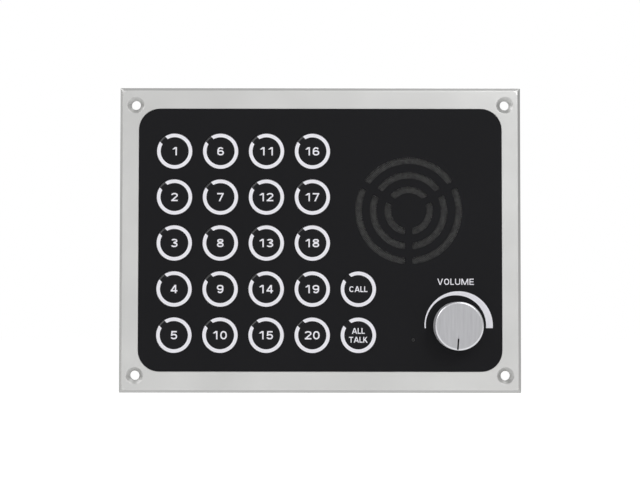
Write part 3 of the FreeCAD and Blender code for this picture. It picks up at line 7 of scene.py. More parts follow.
import sys
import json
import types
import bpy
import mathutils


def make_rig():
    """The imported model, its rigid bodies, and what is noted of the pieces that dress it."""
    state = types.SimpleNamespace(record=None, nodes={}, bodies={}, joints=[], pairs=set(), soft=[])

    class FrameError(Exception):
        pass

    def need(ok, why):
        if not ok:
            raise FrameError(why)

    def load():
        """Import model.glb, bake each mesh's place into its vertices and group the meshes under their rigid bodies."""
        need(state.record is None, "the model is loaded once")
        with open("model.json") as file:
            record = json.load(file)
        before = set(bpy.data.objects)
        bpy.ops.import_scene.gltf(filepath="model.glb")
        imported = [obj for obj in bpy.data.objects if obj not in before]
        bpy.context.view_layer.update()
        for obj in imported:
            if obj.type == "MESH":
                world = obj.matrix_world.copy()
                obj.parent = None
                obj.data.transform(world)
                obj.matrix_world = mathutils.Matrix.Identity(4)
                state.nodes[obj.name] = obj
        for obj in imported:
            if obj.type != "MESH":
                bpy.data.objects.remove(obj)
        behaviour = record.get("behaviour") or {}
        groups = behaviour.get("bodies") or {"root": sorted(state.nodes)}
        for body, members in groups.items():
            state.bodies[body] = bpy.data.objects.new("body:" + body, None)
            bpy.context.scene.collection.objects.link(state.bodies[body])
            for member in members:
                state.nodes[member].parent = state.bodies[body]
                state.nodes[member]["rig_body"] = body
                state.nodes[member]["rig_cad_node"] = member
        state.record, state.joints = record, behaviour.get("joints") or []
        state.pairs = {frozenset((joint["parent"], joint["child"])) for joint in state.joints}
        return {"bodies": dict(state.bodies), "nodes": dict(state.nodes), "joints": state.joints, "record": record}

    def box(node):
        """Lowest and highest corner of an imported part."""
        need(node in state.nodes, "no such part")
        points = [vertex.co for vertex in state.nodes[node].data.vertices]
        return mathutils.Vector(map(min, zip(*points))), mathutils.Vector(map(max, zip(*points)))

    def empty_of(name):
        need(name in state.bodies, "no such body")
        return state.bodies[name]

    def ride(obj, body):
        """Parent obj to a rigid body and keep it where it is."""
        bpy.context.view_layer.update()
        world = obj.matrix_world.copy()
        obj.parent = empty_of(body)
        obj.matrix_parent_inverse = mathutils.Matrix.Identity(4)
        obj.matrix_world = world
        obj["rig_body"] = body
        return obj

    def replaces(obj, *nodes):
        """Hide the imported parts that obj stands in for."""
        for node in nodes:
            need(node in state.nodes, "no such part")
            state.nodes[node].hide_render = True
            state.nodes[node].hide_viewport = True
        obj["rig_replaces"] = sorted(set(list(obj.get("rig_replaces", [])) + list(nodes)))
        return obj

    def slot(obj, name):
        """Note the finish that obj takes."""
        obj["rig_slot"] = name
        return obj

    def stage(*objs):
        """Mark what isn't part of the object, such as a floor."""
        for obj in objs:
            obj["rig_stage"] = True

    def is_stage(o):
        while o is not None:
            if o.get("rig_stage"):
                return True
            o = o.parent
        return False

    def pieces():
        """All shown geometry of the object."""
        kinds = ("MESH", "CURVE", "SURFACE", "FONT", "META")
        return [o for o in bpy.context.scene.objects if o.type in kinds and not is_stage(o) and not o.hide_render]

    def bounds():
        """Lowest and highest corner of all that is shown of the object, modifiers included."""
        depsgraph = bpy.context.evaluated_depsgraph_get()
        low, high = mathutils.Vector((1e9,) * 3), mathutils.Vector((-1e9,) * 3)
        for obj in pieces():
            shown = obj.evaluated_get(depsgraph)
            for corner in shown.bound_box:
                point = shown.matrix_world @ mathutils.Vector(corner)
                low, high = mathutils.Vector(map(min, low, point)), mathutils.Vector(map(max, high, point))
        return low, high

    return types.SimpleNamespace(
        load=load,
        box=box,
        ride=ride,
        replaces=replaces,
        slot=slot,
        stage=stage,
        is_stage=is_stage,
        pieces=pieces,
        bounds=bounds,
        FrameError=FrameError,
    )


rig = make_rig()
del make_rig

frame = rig.load()

import json
import math

import bmesh
import bpy
from bpy.props import FloatProperty, FloatVectorProperty, PointerProperty
from mathutils import Matrix, Quaternion, Vector
from mathutils.geometry import tessellate_polygon

bl_info = {
    "name": "Intercom Station Looks",
    "version": (1, 0, 0),
    "blender": (4, 5, 0),
    "location": "View3D > Sidebar > Station",
    "description": "Finishes, prints and fine shapes for a panel-mounted intercom station",
    "category": "Object",
}

MM = 0.001
CORNER_STEPS = 8
FOIL_CORNER_STEPS = 16
TURN_STEPS = 128
KNOB_STEPS = 192
KEY_STEPS = 96
SINK_STEPS = 64
SCREW_STEPS = 48
SMALL_STEPS = 32
CREASE = math.radians(35)
# How far the faces of an edge run on over the flat beside it
LAP = 1 * MM
HOLE_LAP = 0.3 * MM
# How far a cutter reaches out of the piece that it cuts
CUTTER_REACH = 1 * MM
# Radius of the microphone's hole in the plate and the foil
SOUND_HOLE = 0.8 * MM
SPOKE_ANGLES = (30, 150, 270)
SPOKE_STEP = 120
SLOT_RINGS = 3
TERMINAL_ROWS = 3
TERMINAL_WAYS = 10
WINDOW_ANGLE = 135
KEYS = sorted(name for name in frame["bodies"] if name.startswith("key_"))
WORDS = {"key_call": ("CALL",), "key_all_talk": ("ALL", "TALK")}
PANEL = "panel"
WHITE = (1.0, 1.0, 1.0, 1.0)


# Settings that a user would change


class StationPlateSettings(bpy.types.PropertyGroup):
    """Sizes of the front plate, the foil and the sound slots."""

    bevel_width: FloatProperty(
        name="Bevel width", description="Bevel of the front plate, seen from the front",
        default=1.4 * MM, unit="LENGTH",
    )
    bevel_depth: FloatProperty(
        name="Bevel depth", description="Bevel of the front plate, along its thickness",
        default=1.2 * MM, unit="LENGTH",
    )
    outer_corner: FloatProperty(
        name="Outer corner", description="Corner radius at the plate's side",
        default=0.4 * MM, unit="LENGTH",
    )
    face_corner: FloatProperty(
        name="Face corner", description="Corner radius inside the bevel",
        default=2.6 * MM, unit="LENGTH",
    )
    edge_round: FloatProperty(
        name="Edge round", description="Softened edges of the machined plate",
        default=0.28 * MM, unit="LENGTH",
    )
    screw_inset_x: FloatProperty(
        name="Screw inset across", description="Panel screw from the plate's side",
        default=7.5 * MM, unit="LENGTH",
    )
    screw_inset_z: FloatProperty(
        name="Screw inset up", description="Panel screw from the plate's top or bottom",
        default=8.25 * MM, unit="LENGTH",
    )
    screw_hole: FloatProperty(
        name="Screw hole", description="Diameter of the panel screw holes",
        default=4.4 * MM, unit="LENGTH",
    )
    countersink: FloatProperty(
        name="Countersink", description="Diameter of the countersinks",
        default=8.2 * MM, unit="LENGTH",
    )
    foil_corner: FloatProperty(
        name="Foil corner", description="Corner radius of the black foil",
        default=10.0 * MM, unit="LENGTH",
    )
    foil_recess: FloatProperty(
        name="Foil recess", description="Depth of the recess that holds the foil",
        default=0.4 * MM, unit="LENGTH",
    )
    foil_gap: FloatProperty(
        name="Foil gap", description="Gap between the foil and the recess wall",
        default=0.15 * MM, unit="LENGTH",
    )
    foil_edge: FloatProperty(
        name="Foil edge", description="Softened edges of the foil",
        default=0.08 * MM, unit="LENGTH",
    )
    slot_radius: FloatProperty(
        name="Slot radius", description="Mid radius of the first ring of sound slots",
        default=10.0 * MM, unit="LENGTH",
    )
    slot_pitch: FloatProperty(
        name="Slot pitch", description="Distance between the rings of sound slots",
        default=7.0 * MM, unit="LENGTH",
    )
    slot_width: FloatProperty(
        name="Slot width", description="Width of the sound slots",
        default=3.2 * MM, unit="LENGTH",
    )
    spoke_width: FloatProperty(
        name="Spoke width", description="Width of the spokes between the slots",
        default=3.4 * MM, unit="LENGTH",
    )
    slot_corner: FloatProperty(
        name="Slot corner", description="Rounding of the slots' corners",
        default=0.8 * MM, unit="LENGTH",
    )
    wire_pitch: FloatProperty(
        name="Mesh pitch", description="Distance between the wires of the sound mesh",
        default=0.75 * MM, unit="LENGTH",
    )
    wire_width: FloatProperty(
        name="Mesh wire", description="Width of a wire of the sound mesh",
        default=0.36 * MM, unit="LENGTH",
    )
    metal: FloatVectorProperty(
        name="Plate metal", description="Colour of the satin aluminium",
        default=(0.515, 0.515, 0.508), size=3, subtype="COLOR",
    )
    foil: FloatVectorProperty(
        name="Foil", description="Colour of the black foil",
        default=(0.0058, 0.0058, 0.0070), size=3, subtype="COLOR",
    )


class StationKeySettings(bpy.types.PropertyGroup):
    """Sizes and colours of the keys and of what is printed on them."""

    cap: FloatProperty(
        name="Cap", description="Diameter of a key's cap",
        default=17.2 * MM, unit="LENGTH",
    )
    cap_edge: FloatProperty(
        name="Cap edge", description="Softened edge of a key's cap",
        default=0.14 * MM, unit="LENGTH",
    )
    flange_front: FloatProperty(
        name="Flange place", description="Front of the flange behind the plate",
        default=0.1 * MM, unit="LENGTH",
    )
    flange_thickness: FloatProperty(
        name="Flange", description="Thickness of the flange",
        default=1.0 * MM, unit="LENGTH",
    )
    stem: FloatProperty(
        name="Stem", description="Diameter of the stem",
        default=3.0 * MM, unit="LENGTH",
    )
    ring_outer: FloatProperty(
        name="Ring outside", description="Outer radius of the printed ring",
        default=8.42 * MM, unit="LENGTH",
    )
    ring_inner: FloatProperty(
        name="Ring inside", description="Inner radius of the printed ring",
        default=6.72 * MM, unit="LENGTH",
    )
    ring_gap: FloatProperty(
        name="Ring gap", description="Width of the gap in the printed ring",
        default=3.5 * MM, unit="LENGTH",
    )
    window_inner: FloatProperty(
        name="Window inside", description="Inner radius of the signal window in the gap",
        default=7.88 * MM, unit="LENGTH",
    )
    print_height: FloatProperty(
        name="Print", description="Thickness of the printed ink",
        default=0.03 * MM, unit="LENGTH",
    )
    digit_height: FloatProperty(
        name="Digit height", description="Height of the numbers",
        default=3.95 * MM, unit="LENGTH",
    )
    digit_stroke: FloatProperty(
        name="Digit stroke", description="Width of the strokes of the numbers",
        default=0.66 * MM, unit="LENGTH",
    )
    digit_gap: FloatProperty(
        name="Digit gap", description="Gap between two digits",
        default=0.77 * MM, unit="LENGTH",
    )
    word_height: FloatProperty(
        name="Word height", description="Height of the capitals on the function keys",
        default=2.75 * MM, unit="LENGTH",
    )
    word_stroke: FloatProperty(
        name="Word stroke", description="Width of the strokes of the capitals",
        default=0.46 * MM, unit="LENGTH",
    )
    word_gap: FloatProperty(
        name="Word gap", description="Gap between two capitals",
        default=0.26 * MM, unit="LENGTH",
    )
    line_pitch: FloatProperty(
        name="Line pitch", description="Distance between two lines of words",
        default=4.2 * MM, unit="LENGTH",
    )
    ink: FloatVectorProperty(
        name="Ink", description="Colour of the printed rings and numbers",
        default=(0.86, 0.85, 0.90), size=3, subtype="COLOR",
    )
    window: FloatVectorProperty(
        name="Window", description="Colour of the smoky signal windows",
        default=(0.060, 0.060, 0.062), size=3, subtype="COLOR",
    )


class StationVolumeSettings(bpy.types.PropertyGroup):
    """Sizes and colours of the volume knob and its printed scale."""

    chamfer: FloatProperty(
        name="Chamfer", description="Width of the chamfer round the face",
        default=0.68 * MM, unit="LENGTH",
    )
    chamfer_depth: FloatProperty(
        name="Chamfer depth", description="Depth of the chamfer round the face",
        default=0.45 * MM, unit="LENGTH",
    )
    edge_round: FloatProperty(
        name="Edge round", description="Softened edges of the turned knob",
        default=0.34 * MM, unit="LENGTH",
    )
    bore: FloatProperty(
        name="Rear bore", description="Diameter of the room for the nut",
        default=14.3 * MM, unit="LENGTH",
    )
    bore_depth: FloatProperty(
        name="Rear bore depth", description="Depth of the room for the nut",
        default=3.0 * MM, unit="LENGTH",
    )
    shaft: FloatProperty(
        name="Shaft bore", description="Diameter of the bore on the shaft",
        default=6.05 * MM, unit="LENGTH",
    )
    front_wall: FloatProperty(
        name="Front wall", description="Metal in front of the shaft bore",
        default=1.3 * MM, unit="LENGTH",
    )
    grub_hole: FloatProperty(
        name="Grub screw hole", description="Diameter of the hole for the grub screw",
        default=3.1 * MM, unit="LENGTH",
    )
    pointer_length: FloatProperty(
        name="Pointer length", description="Length of the pointer line",
        default=5.5 * MM, unit="LENGTH",
    )
    pointer_lean: FloatProperty(
        name="Pointer lean", description="Turn of the pointer line from straight down",
        default=math.radians(4.3), subtype="ANGLE",
    )
    pointer_width: FloatProperty(
        name="Pointer width", description="Width of the pointer line",
        default=0.72 * MM, unit="LENGTH",
    )
    pointer_depth: FloatProperty(
        name="Pointer depth", description="Depth of the pointer's groove",
        default=0.3 * MM, unit="LENGTH",
    )
    scale_radius: FloatProperty(
        name="Scale radius", description="Outer radius of the crescent scale",
        default=16.3 * MM, unit="LENGTH",
    )
    scale_inner: FloatProperty(
        name="Scale inner radius", description="Radius of the crescent's inner circle",
        default=14.4 * MM, unit="LENGTH",
    )
    scale_right: FloatProperty(
        name="Scale right", description="Outer circle of the crescent right of the knob's axis",
        default=0.7 * MM, unit="LENGTH",
    )
    scale_left: FloatProperty(
        name="Scale left", description="Inner circle of the crescent left of the knob's axis",
        default=0.6 * MM, unit="LENGTH",
    )
    scale_rise: FloatProperty(
        name="Scale rise", description="Both circles of the crescent above the knob's axis",
        default=0.2 * MM, unit="LENGTH",
    )
    scale_drop: FloatProperty(
        name="Scale ends", description="Ends of the crescent below the middle of its circles",
        default=1.25 * MM, unit="LENGTH",
    )
    word_rise: FloatProperty(
        name="Word rise", description="Middle of the word above the knob's axis",
        default=21.03 * MM, unit="LENGTH",
    )
    word_shift: FloatProperty(
        name="Word shift", description="Middle of the word left of the knob's axis",
        default=0.7 * MM, unit="LENGTH",
    )
    word_height: FloatProperty(
        name="Word height", description="Height of the word over the scale",
        default=2.95 * MM, unit="LENGTH",
    )
    word_stroke: FloatProperty(
        name="Word stroke", description="Width of the strokes of the word over the scale",
        default=0.44 * MM, unit="LENGTH",
    )
    word_gap: FloatProperty(
        name="Word gap", description="Gap between the letters of the word over the scale",
        default=0.56 * MM, unit="LENGTH",
    )
    metal: FloatVectorProperty(
        name="Knob metal", description="Colour of the turned aluminium",
        default=(0.395, 0.395, 0.41), size=3, subtype="COLOR",
    )


class StationHousingSettings(bpy.types.PropertyGroup):
    """Sizes and colours of the housing, its cover and what shows at the rear."""

    corner: FloatProperty(
        name="Corner", description="Outer corner radius of the housing",
        default=2.5 * MM, unit="LENGTH",
    )
    bend: FloatProperty(
        name="Bend", description="Reach of the fold between the wall and the rear lip",
        default=1.5 * MM, unit="LENGTH",
    )
    sheet: FloatProperty(
        name="Sheet", description="Sheet thickness", default=1.2 * MM, unit="LENGTH",
    )
    lip: FloatProperty(
        name="Lip", description="Width of the rear lip inside the wall",
        default=7.0 * MM, unit="LENGTH",
    )
    lug_left: FloatProperty(
        name="Left lugs", description="Left lugs' holes from the housing's left side",
        default=23.25 * MM, unit="LENGTH",
    )
    lug_right: FloatProperty(
        name="Right lugs", description="Right lugs' holes from the housing's right side",
        default=6.0 * MM, unit="LENGTH",
    )
    lug_inset: FloatProperty(
        name="Lug inset", description="Lugs' holes from the housing's top and bottom",
        default=4.5 * MM, unit="LENGTH",
    )
    lug_width: FloatProperty(
        name="Lug width", description="Width of the front lugs",
        default=7.0 * MM, unit="LENGTH",
    )
    lug_hole: FloatProperty(
        name="Lug hole", description="Diameter of the holes in the front lugs",
        default=3.4 * MM, unit="LENGTH",
    )
    window_gap: FloatProperty(
        name="Window gap", description="Gap round each plug in the cover",
        default=1.0 * MM, unit="LENGTH",
    )
    screw_head: FloatProperty(
        name="Screw head", description="Diameter of a cover screw's head",
        default=5.6 * MM, unit="LENGTH",
    )
    screw_socket: FloatProperty(
        name="Screw socket", description="Hexagon socket of a cover screw, across flats",
        default=2.0 * MM, unit="LENGTH",
    )
    thread: FloatProperty(
        name="Screw shank", description="Diameter of a cover screw's shank",
        default=3.0 * MM, unit="LENGTH",
    )
    gasket_width: FloatProperty(
        name="Gasket", description="Width of the panel gasket",
        default=2.5 * MM, unit="LENGTH",
    )
    gasket_corner: FloatProperty(
        name="Gasket corner", description="Outer corner radius of the panel gasket",
        default=6.0 * MM, unit="LENGTH",
    )
    plug_height: FloatProperty(
        name="Plug height", description="Height of a terminal plug",
        default=11.0 * MM, unit="LENGTH",
    )
    plug_depth: FloatProperty(
        name="Plug depth", description="Depth of a terminal plug behind its socket",
        default=12.0 * MM, unit="LENGTH",
    )
    tongue_height: FloatProperty(
        name="Tongue height", description="Height of a plug's tongue inside the socket",
        default=6.6 * MM, unit="LENGTH",
    )
    tongue_inset: FloatProperty(
        name="Tongue inset", description="Tongue in from each end of the plug",
        default=1.0 * MM, unit="LENGTH",
    )
    terminal_pitch: FloatProperty(
        name="Terminal pitch", description="Distance between the ways of a terminal",
        default=5.08 * MM, unit="LENGTH",
    )
    wire_entry: FloatProperty(
        name="Wire entry", description="Diameter of a wire entry",
        default=2.8 * MM, unit="LENGTH",
    )
    thread_pitch: FloatProperty(
        name="Stud thread", description="Pitch of the earth stud's thread",
        default=0.7 * MM, unit="LENGTH",
    )
    zinc: FloatVectorProperty(
        name="Zinc", description="Colour of the zinc-plated sheet",
        default=(0.50, 0.51, 0.52), size=3, subtype="COLOR",
    )
    plug: FloatVectorProperty(
        name="Plug", description="Colour of the terminal plugs",
        default=(0.018, 0.200, 0.085), size=3, subtype="COLOR",
    )


class StationStageSettings(bpy.types.PropertyGroup):
    """Camera, floor and light."""

    camera_place: FloatVectorProperty(
        name="Camera", description="Place of the camera",
        default=(-0.720 * MM, -803.3 * MM, -34.36 * MM), size=3, subtype="TRANSLATION",
    )
    camera_aim: FloatVectorProperty(
        name="Aim", description="Point in the middle of the picture",
        default=(-0.085 * MM, -4.0 * MM, -0.064 * MM), size=3, subtype="TRANSLATION",
    )
    camera_roll: FloatProperty(
        name="Roll", description="Roll of the camera",
        default=math.radians(0.057), subtype="ANGLE",
    )
    camera_lens: FloatProperty(
        name="Lens", description="Focal length in millimetres on a 36 mm sensor", default=94.12,
    )
    floor_drop: FloatProperty(
        name="Floor", description="Floor below the origin", default=150 * MM, unit="LENGTH",
    )
    room_light: FloatProperty(
        name="Room light", description="Strength of the even light all round", default=0.55,
    )


# Finishes


class Wire:
    """A socket of a shader that takes part in Python sums; each sum adds a Math node."""

    def __init__(self, recipe, socket):
        self.recipe = recipe
        self.socket = socket

    def maths(self, operation, first, second):
        return self.recipe.node("ShaderNodeMath", {"operation": operation}, {0: first, 1: second})

    def __add__(self, other):
        return self.maths("ADD", self, other)

    def __radd__(self, other):
        return self.maths("ADD", other, self)

    def __sub__(self, other):
        return self.maths("SUBTRACT", self, other)

    def __rsub__(self, other):
        return self.maths("SUBTRACT", other, self)

    def __mul__(self, other):
        return self.maths("MULTIPLY", self, other)

    def __rmul__(self, other):
        return self.maths("MULTIPLY", other, self)

    def __gt__(self, other):
        return self.maths("GREATER_THAN", self, other)


class Recipe:
    """The shader of one material or world."""

    def __init__(self, holder):
        holder.use_nodes = True
        self.tree = holder.node_tree
        self.tree.nodes.clear()

    def node(self, kind, settings=None, sockets=None, output=0):
        """Adds a node, sets it up, then gives its sockets values or links."""
        item = self.tree.nodes.new(kind)
        for name, value in (settings or {}).items():
            setattr(item, name, value)
        for name, value in (sockets or {}).items():
            if isinstance(value, Wire):
                self.tree.links.new(value.socket, item.inputs[name])
            else:
                item.inputs[name].default_value = value
        return Wire(self, item.outputs[output]) if len(item.outputs) else item

    def place(self, scale=(1, 1, 1)):
        """Where a point is on the piece, in metres, stretched by a scale along each axis."""
        point = self.node("ShaderNodeTexCoord", output="Object")
        return self.node("ShaderNodeMapping", {}, {"Vector": point, "Scale": scale})

    def noise(self, size, detail=2.0, stretch=(1, 1, 1)):
        """Even noise from 0 to 1 whose blots are about as wide as size."""
        sockets = {"Vector": self.place(stretch), "Scale": 1 / size, "Detail": detail}
        return self.node("ShaderNodeTexNoise", {}, sockets)

    def cells(self, size):
        """A random grey for each cell of about the size given."""
        sockets = {"Vector": self.place(), "Scale": 1 / size}
        return self.node("ShaderNodeTexVoronoi", {}, sockets, output="Color")

    def band(self, value, low, high):
        """Stretches the part of a value between low and high to 0 to 1."""
        sockets = {"Value": value, "From Min": low, "From Max": high}
        return self.node("ShaderNodeMapRange", {}, sockets)

    def blend(self, factor, first, second):
        """A colour between two others."""
        return self.node("ShaderNodeMix", {"data_type": "RGBA"}, {0: factor, 6: first, 7: second},
                         output=2)

    def bump(self, height, depth, strength=1.0):
        """A normal from a height of 0 to 1 that stands for a depth in metres."""
        sockets = {"Height": height, "Distance": depth, "Strength": strength}
        return self.node("ShaderNodeBump", {}, sockets)

    def surface(self, sockets):
        """The finished surface."""
        shader = self.node("ShaderNodeBsdfPrincipled", {}, sockets)
        self.node("ShaderNodeOutputMaterial", {}, {"Surface": shader})


def shade(colour, factor=1.0):
    """A colour with its alpha, darker or lighter by a factor."""
    return tuple(min(1.0, part * factor) for part in colour) + (1.0,)


def satin_aluminium(recipe, scene):
    """Bead-blasted, clear-anodised plate: fine grain and faint clouds."""
    metal = scene.station_plate.metal
    grain = recipe.noise(0.22 * MM, 3.0)
    cloud = recipe.noise(38 * MM)
    recipe.surface({
        "Base Color": recipe.blend(recipe.band(cloud, 0.3, 0.7), shade(metal, 0.95), shade(metal, 1.05)),
        "Metallic": 1.0,
        "Roughness": 0.36 + 0.10 * grain,
        "Normal": recipe.bump(grain, 0.006 * MM),
    })


def machined_bevel(recipe, scene):
    """Bevel of the plate: smoother than its face, with fine lines left by the cutter, and a base colour darker than
    the plate metal, which is painted shade on the bevel band.
    """
    metal = scene.station_plate.metal
    lines = recipe.noise(0.10 * MM, 2.0, (0.4, 1.0, 0.4))
    recipe.surface({
        # Painted shade: the bevel's colour is 0.69 to 0.79 of the plate metal, darker than the face.
        "Base Color": recipe.blend(lines, shade(metal, 0.69), shade(metal, 0.79)),
        "Metallic": 1.0,
        "Roughness": 0.34 + 0.10 * lines,
        "Normal": recipe.bump(lines, 0.003 * MM),
    })


def turned_aluminium(recipe, scene):
    """Turned edge of the knob, the shaft and the microphone's case: fine rings, and a base colour lifted above the
    knob metal, which is a painted highlight on the knob's chamfer ring.
    """
    metal = scene.station_volume.metal
    rings = recipe.noise(0.12 * MM, 2.0, (0.02, 1.0, 0.02))
    recipe.surface({
        # Painted highlight: 1.30 to 1.50 times the knob metal, brighter than the knob's face and side.
        "Base Color": recipe.blend(rings, shade(metal, 1.30), shade(metal, 1.50)),
        "Metallic": 1.0,
        "Roughness": 0.22 + 0.12 * rings,
        "Normal": recipe.bump(rings, 0.004 * MM),
    })


def satin_side(recipe, scene):
    """Side of the knob: matt anodised, with faint rings."""
    metal = scene.station_volume.metal
    rings = recipe.noise(0.16 * MM, 2.0, (0.02, 1.0, 0.02))
    recipe.surface({
        "Base Color": recipe.blend(rings, shade(metal, 0.95), shade(metal, 1.15)),
        "Metallic": 0.35,
        "Roughness": 0.50 + 0.14 * rings,
        "Normal": recipe.bump(rings, 0.006 * MM),
    })


def brushed_aluminium(recipe, scene):
    """Face of the knob: brushed up and down."""
    metal = scene.station_volume.metal
    fine = recipe.noise(0.10 * MM, 2.0, (1.0, 1.0, 0.012))
    broad = recipe.noise(0.9 * MM, 2.0, (1.0, 1.0, 0.05))
    streak = 0.6 * fine + 0.4 * broad
    recipe.surface({
        "Base Color": recipe.blend(recipe.band(streak, 0.3, 0.7), shade(metal, 0.84), shade(metal, 1.10)),
        "Metallic": 1.0,
        "Roughness": 0.30 + 0.14 * fine,
        "Normal": recipe.bump(fine, 0.004 * MM),
    })


def black_foil(recipe, scene):
    """Matt printed polyester: a fine tooth and a faint unevenness."""
    colour = scene.station_plate.foil
    tooth = recipe.noise(0.12 * MM, 2.0)
    cloud = recipe.noise(45 * MM, 1.0)
    recipe.surface({
        "Base Color": recipe.blend(cloud, shade(colour, 0.85), shade(colour, 1.15)),
        "Roughness": 0.46 + 0.10 * tooth,
        "Specular IOR Level": 0.11,
        "Normal": recipe.bump(tooth, 0.003 * MM),
    })


def key_black(recipe, scene):
    """The same print on the keys, rubbed a little smoother where fingers press."""
    colour = scene.station_plate.foil
    tooth = recipe.noise(0.12 * MM, 2.0)
    rubbed = recipe.noise(5 * MM, 1.0)
    recipe.surface({
        "Base Color": recipe.blend(rubbed, shade(colour, 0.9), shade(colour, 1.2)),
        "Roughness": 0.40 + 0.08 * rubbed + 0.06 * tooth,
        "Specular IOR Level": 0.12,
        "Normal": recipe.bump(tooth, 0.003 * MM),
    })


def white_ink(recipe, scene):
    """Screen-printed ink with a faint mottle."""
    ink = scene.station_keys.ink
    mottle = recipe.noise(0.5 * MM, 3.0)
    recipe.surface({
        "Base Color": recipe.blend(mottle, shade(ink, 0.93), shade(ink, 1.04)),
        "Roughness": 0.48 + 0.12 * mottle,
        "Specular IOR Level": 0.3,
        "Normal": recipe.bump(mottle, 0.004 * MM),
    })


def smoky_window(recipe, scene):
    """Smoky clear plastic over an unlit lamp."""
    colour = scene.station_keys.window
    depth = recipe.noise(0.8 * MM, 1.0)
    recipe.surface({
        "Base Color": recipe.blend(depth, shade(colour, 0.75), shade(colour, 1.25)),
        "Roughness": 0.20 + 0.08 * depth,
        "Coat Weight": 0.3,
    })


def dark_window(recipe, scene):
    """Black-printed window of the function keys, which shows only when its lamp is lit."""
    depth = recipe.noise(0.8 * MM, 1.0)
    recipe.surface({
        "Base Color": recipe.blend(depth, (0.005, 0.005, 0.006, 1), (0.008, 0.008, 0.009, 1)),
        "Roughness": 0.42 + 0.08 * depth,
        "Specular IOR Level": 0.14,
    })


def dark_mesh(recipe, scene):
    """Wire cloth, black-coated and a little dusty in spots."""
    dust = recipe.band(recipe.noise(1.3 * MM, 3.0), 0.34, 0.66)
    recipe.surface({
        "Base Color": recipe.blend(dust, (0.011, 0.011, 0.012, 1), (0.060, 0.060, 0.059, 1)),
        "Metallic": 0.2,
        "Roughness": 0.50 + 0.18 * dust,
    })


def rubber(recipe, dark, light, size):
    """Rubber or foam with a fine skin."""
    skin = recipe.noise(size, 3.0)
    recipe.surface({
        "Base Color": recipe.blend(skin, dark, light),
        "Roughness": 0.68 + 0.18 * skin,
        "Specular IOR Level": 0.25,
        "Normal": recipe.bump(skin, 0.03 * MM),
    })


def black_rubber(recipe, scene):
    """Moulded rubber of the gasket and the microphone boot."""
    rubber(recipe, (0.010, 0.010, 0.011, 1), (0.022, 0.022, 0.023, 1), 0.3 * MM)


def black_felt(recipe, scene):
    """Felt over the microphone."""
    rubber(recipe, (0.026, 0.026, 0.027, 1), (0.060, 0.060, 0.060, 1), 0.25 * MM)


def foam_rubber(recipe, scene):
    """Open foam of the loudspeaker's ring."""
    rubber(recipe, (0.020, 0.020, 0.020, 1), (0.060, 0.060, 0.058, 1), 0.7 * MM)


def plastic(recipe, dark, light, grain=0.15 * MM):
    """Moulded plastic with a spark-eroded skin and a little flow unevenness."""
    skin = recipe.noise(grain, 2.0)
    flow = recipe.noise(9 * MM, 1.0)
    recipe.surface({
        "Base Color": recipe.blend(flow, dark, light),
        "Roughness": 0.40 + 0.14 * skin,
        "Normal": recipe.bump(skin, 0.006 * MM),
    })


def black_plastic(recipe, scene):
    """Switches and connectors."""
    plastic(recipe, (0.010, 0.010, 0.011, 1), (0.017, 0.017, 0.018, 1))


def terminal_green(recipe, scene):
    """Terminal plugs and their sockets."""
    colour = scene.station_housing.plug
    plastic(recipe, shade(colour, 0.82), shade(colour, 1.15))


def ribbon_grey(recipe, scene):
    """Flat cable: its insulated cores side by side."""
    cores = recipe.node("ShaderNodeTexWave", {"bands_direction": "X"},
                        {"Vector": recipe.place(), "Scale": 125.0})
    recipe.surface({
        "Base Color": recipe.blend(cores, (0.22, 0.22, 0.23, 1), (0.42, 0.42, 0.43, 1)),
        "Roughness": 0.42 + 0.10 * cores,
        "Normal": recipe.bump(cores, 0.2 * MM),
    })


def plated(recipe, dark, light, roughness):
    """Plated metal, unevenly bright."""
    patch = recipe.noise(1.2 * MM, 3.0)
    recipe.surface({
        "Base Color": recipe.blend(patch, dark, light),
        "Metallic": 1.0,
        "Roughness": roughness + 0.12 * patch,
        "Normal": recipe.bump(patch, 0.008 * MM),
    })


def nickel_brass(recipe, scene):
    """Nickel-plated pillars, bushing and nut."""
    plated(recipe, (0.50, 0.48, 0.42, 1), (0.68, 0.66, 0.60, 1), 0.22)


def zinc_steel(recipe, scene):
    """Zinc-plated screws, clamps and stud."""
    plated(recipe, (0.42, 0.43, 0.45, 1), (0.62, 0.63, 0.65, 1), 0.28)


def pressed_steel(recipe, scene):
    """Black paint of the loudspeaker's pressed frame."""
    plastic(recipe, (0.034, 0.034, 0.035, 1), (0.058, 0.058, 0.058, 1), 0.6 * MM)


def zinc_sheet(recipe, scene):
    """Zinc-coated sheet with a faint spangle and rolling lines."""
    zinc = scene.station_housing.zinc
    spangle = recipe.node("ShaderNodeSeparateColor", {}, {"Color": recipe.cells(3.4 * MM)})
    fine = recipe.noise(0.35 * MM, 2.0, (0.06, 1.0, 1.0))
    tone = 0.55 * spangle + 0.45 * fine
    recipe.surface({
        "Base Color": recipe.blend(tone, shade(zinc, 0.84), shade(zinc, 1.12)),
        "Metallic": 1.0,
        "Roughness": 0.36 + 0.12 * spangle + 0.06 * fine,
        "Normal": recipe.bump(fine, 0.006 * MM),
    })


def board(recipe, scene):
    """Solder mask over copper tracks."""
    tracks = recipe.node("ShaderNodeTexBrick", {"offset": 0.5}, {
        "Vector": recipe.place(), "Scale": 160.0, "Mortar Size": 0.03,
        "Color1": (0.006, 0.070, 0.030, 1), "Color2": (0.004, 0.045, 0.020, 1),
        "Mortar": (0.012, 0.130, 0.055, 1),
    })
    mask = recipe.noise(2.0 * MM)
    recipe.surface({
        "Base Color": recipe.blend(0.3 * mask, tracks, (0.010, 0.110, 0.045, 1)),
        "Roughness": 0.28 + 0.12 * mask,
        "Coat Weight": 0.3,
    })


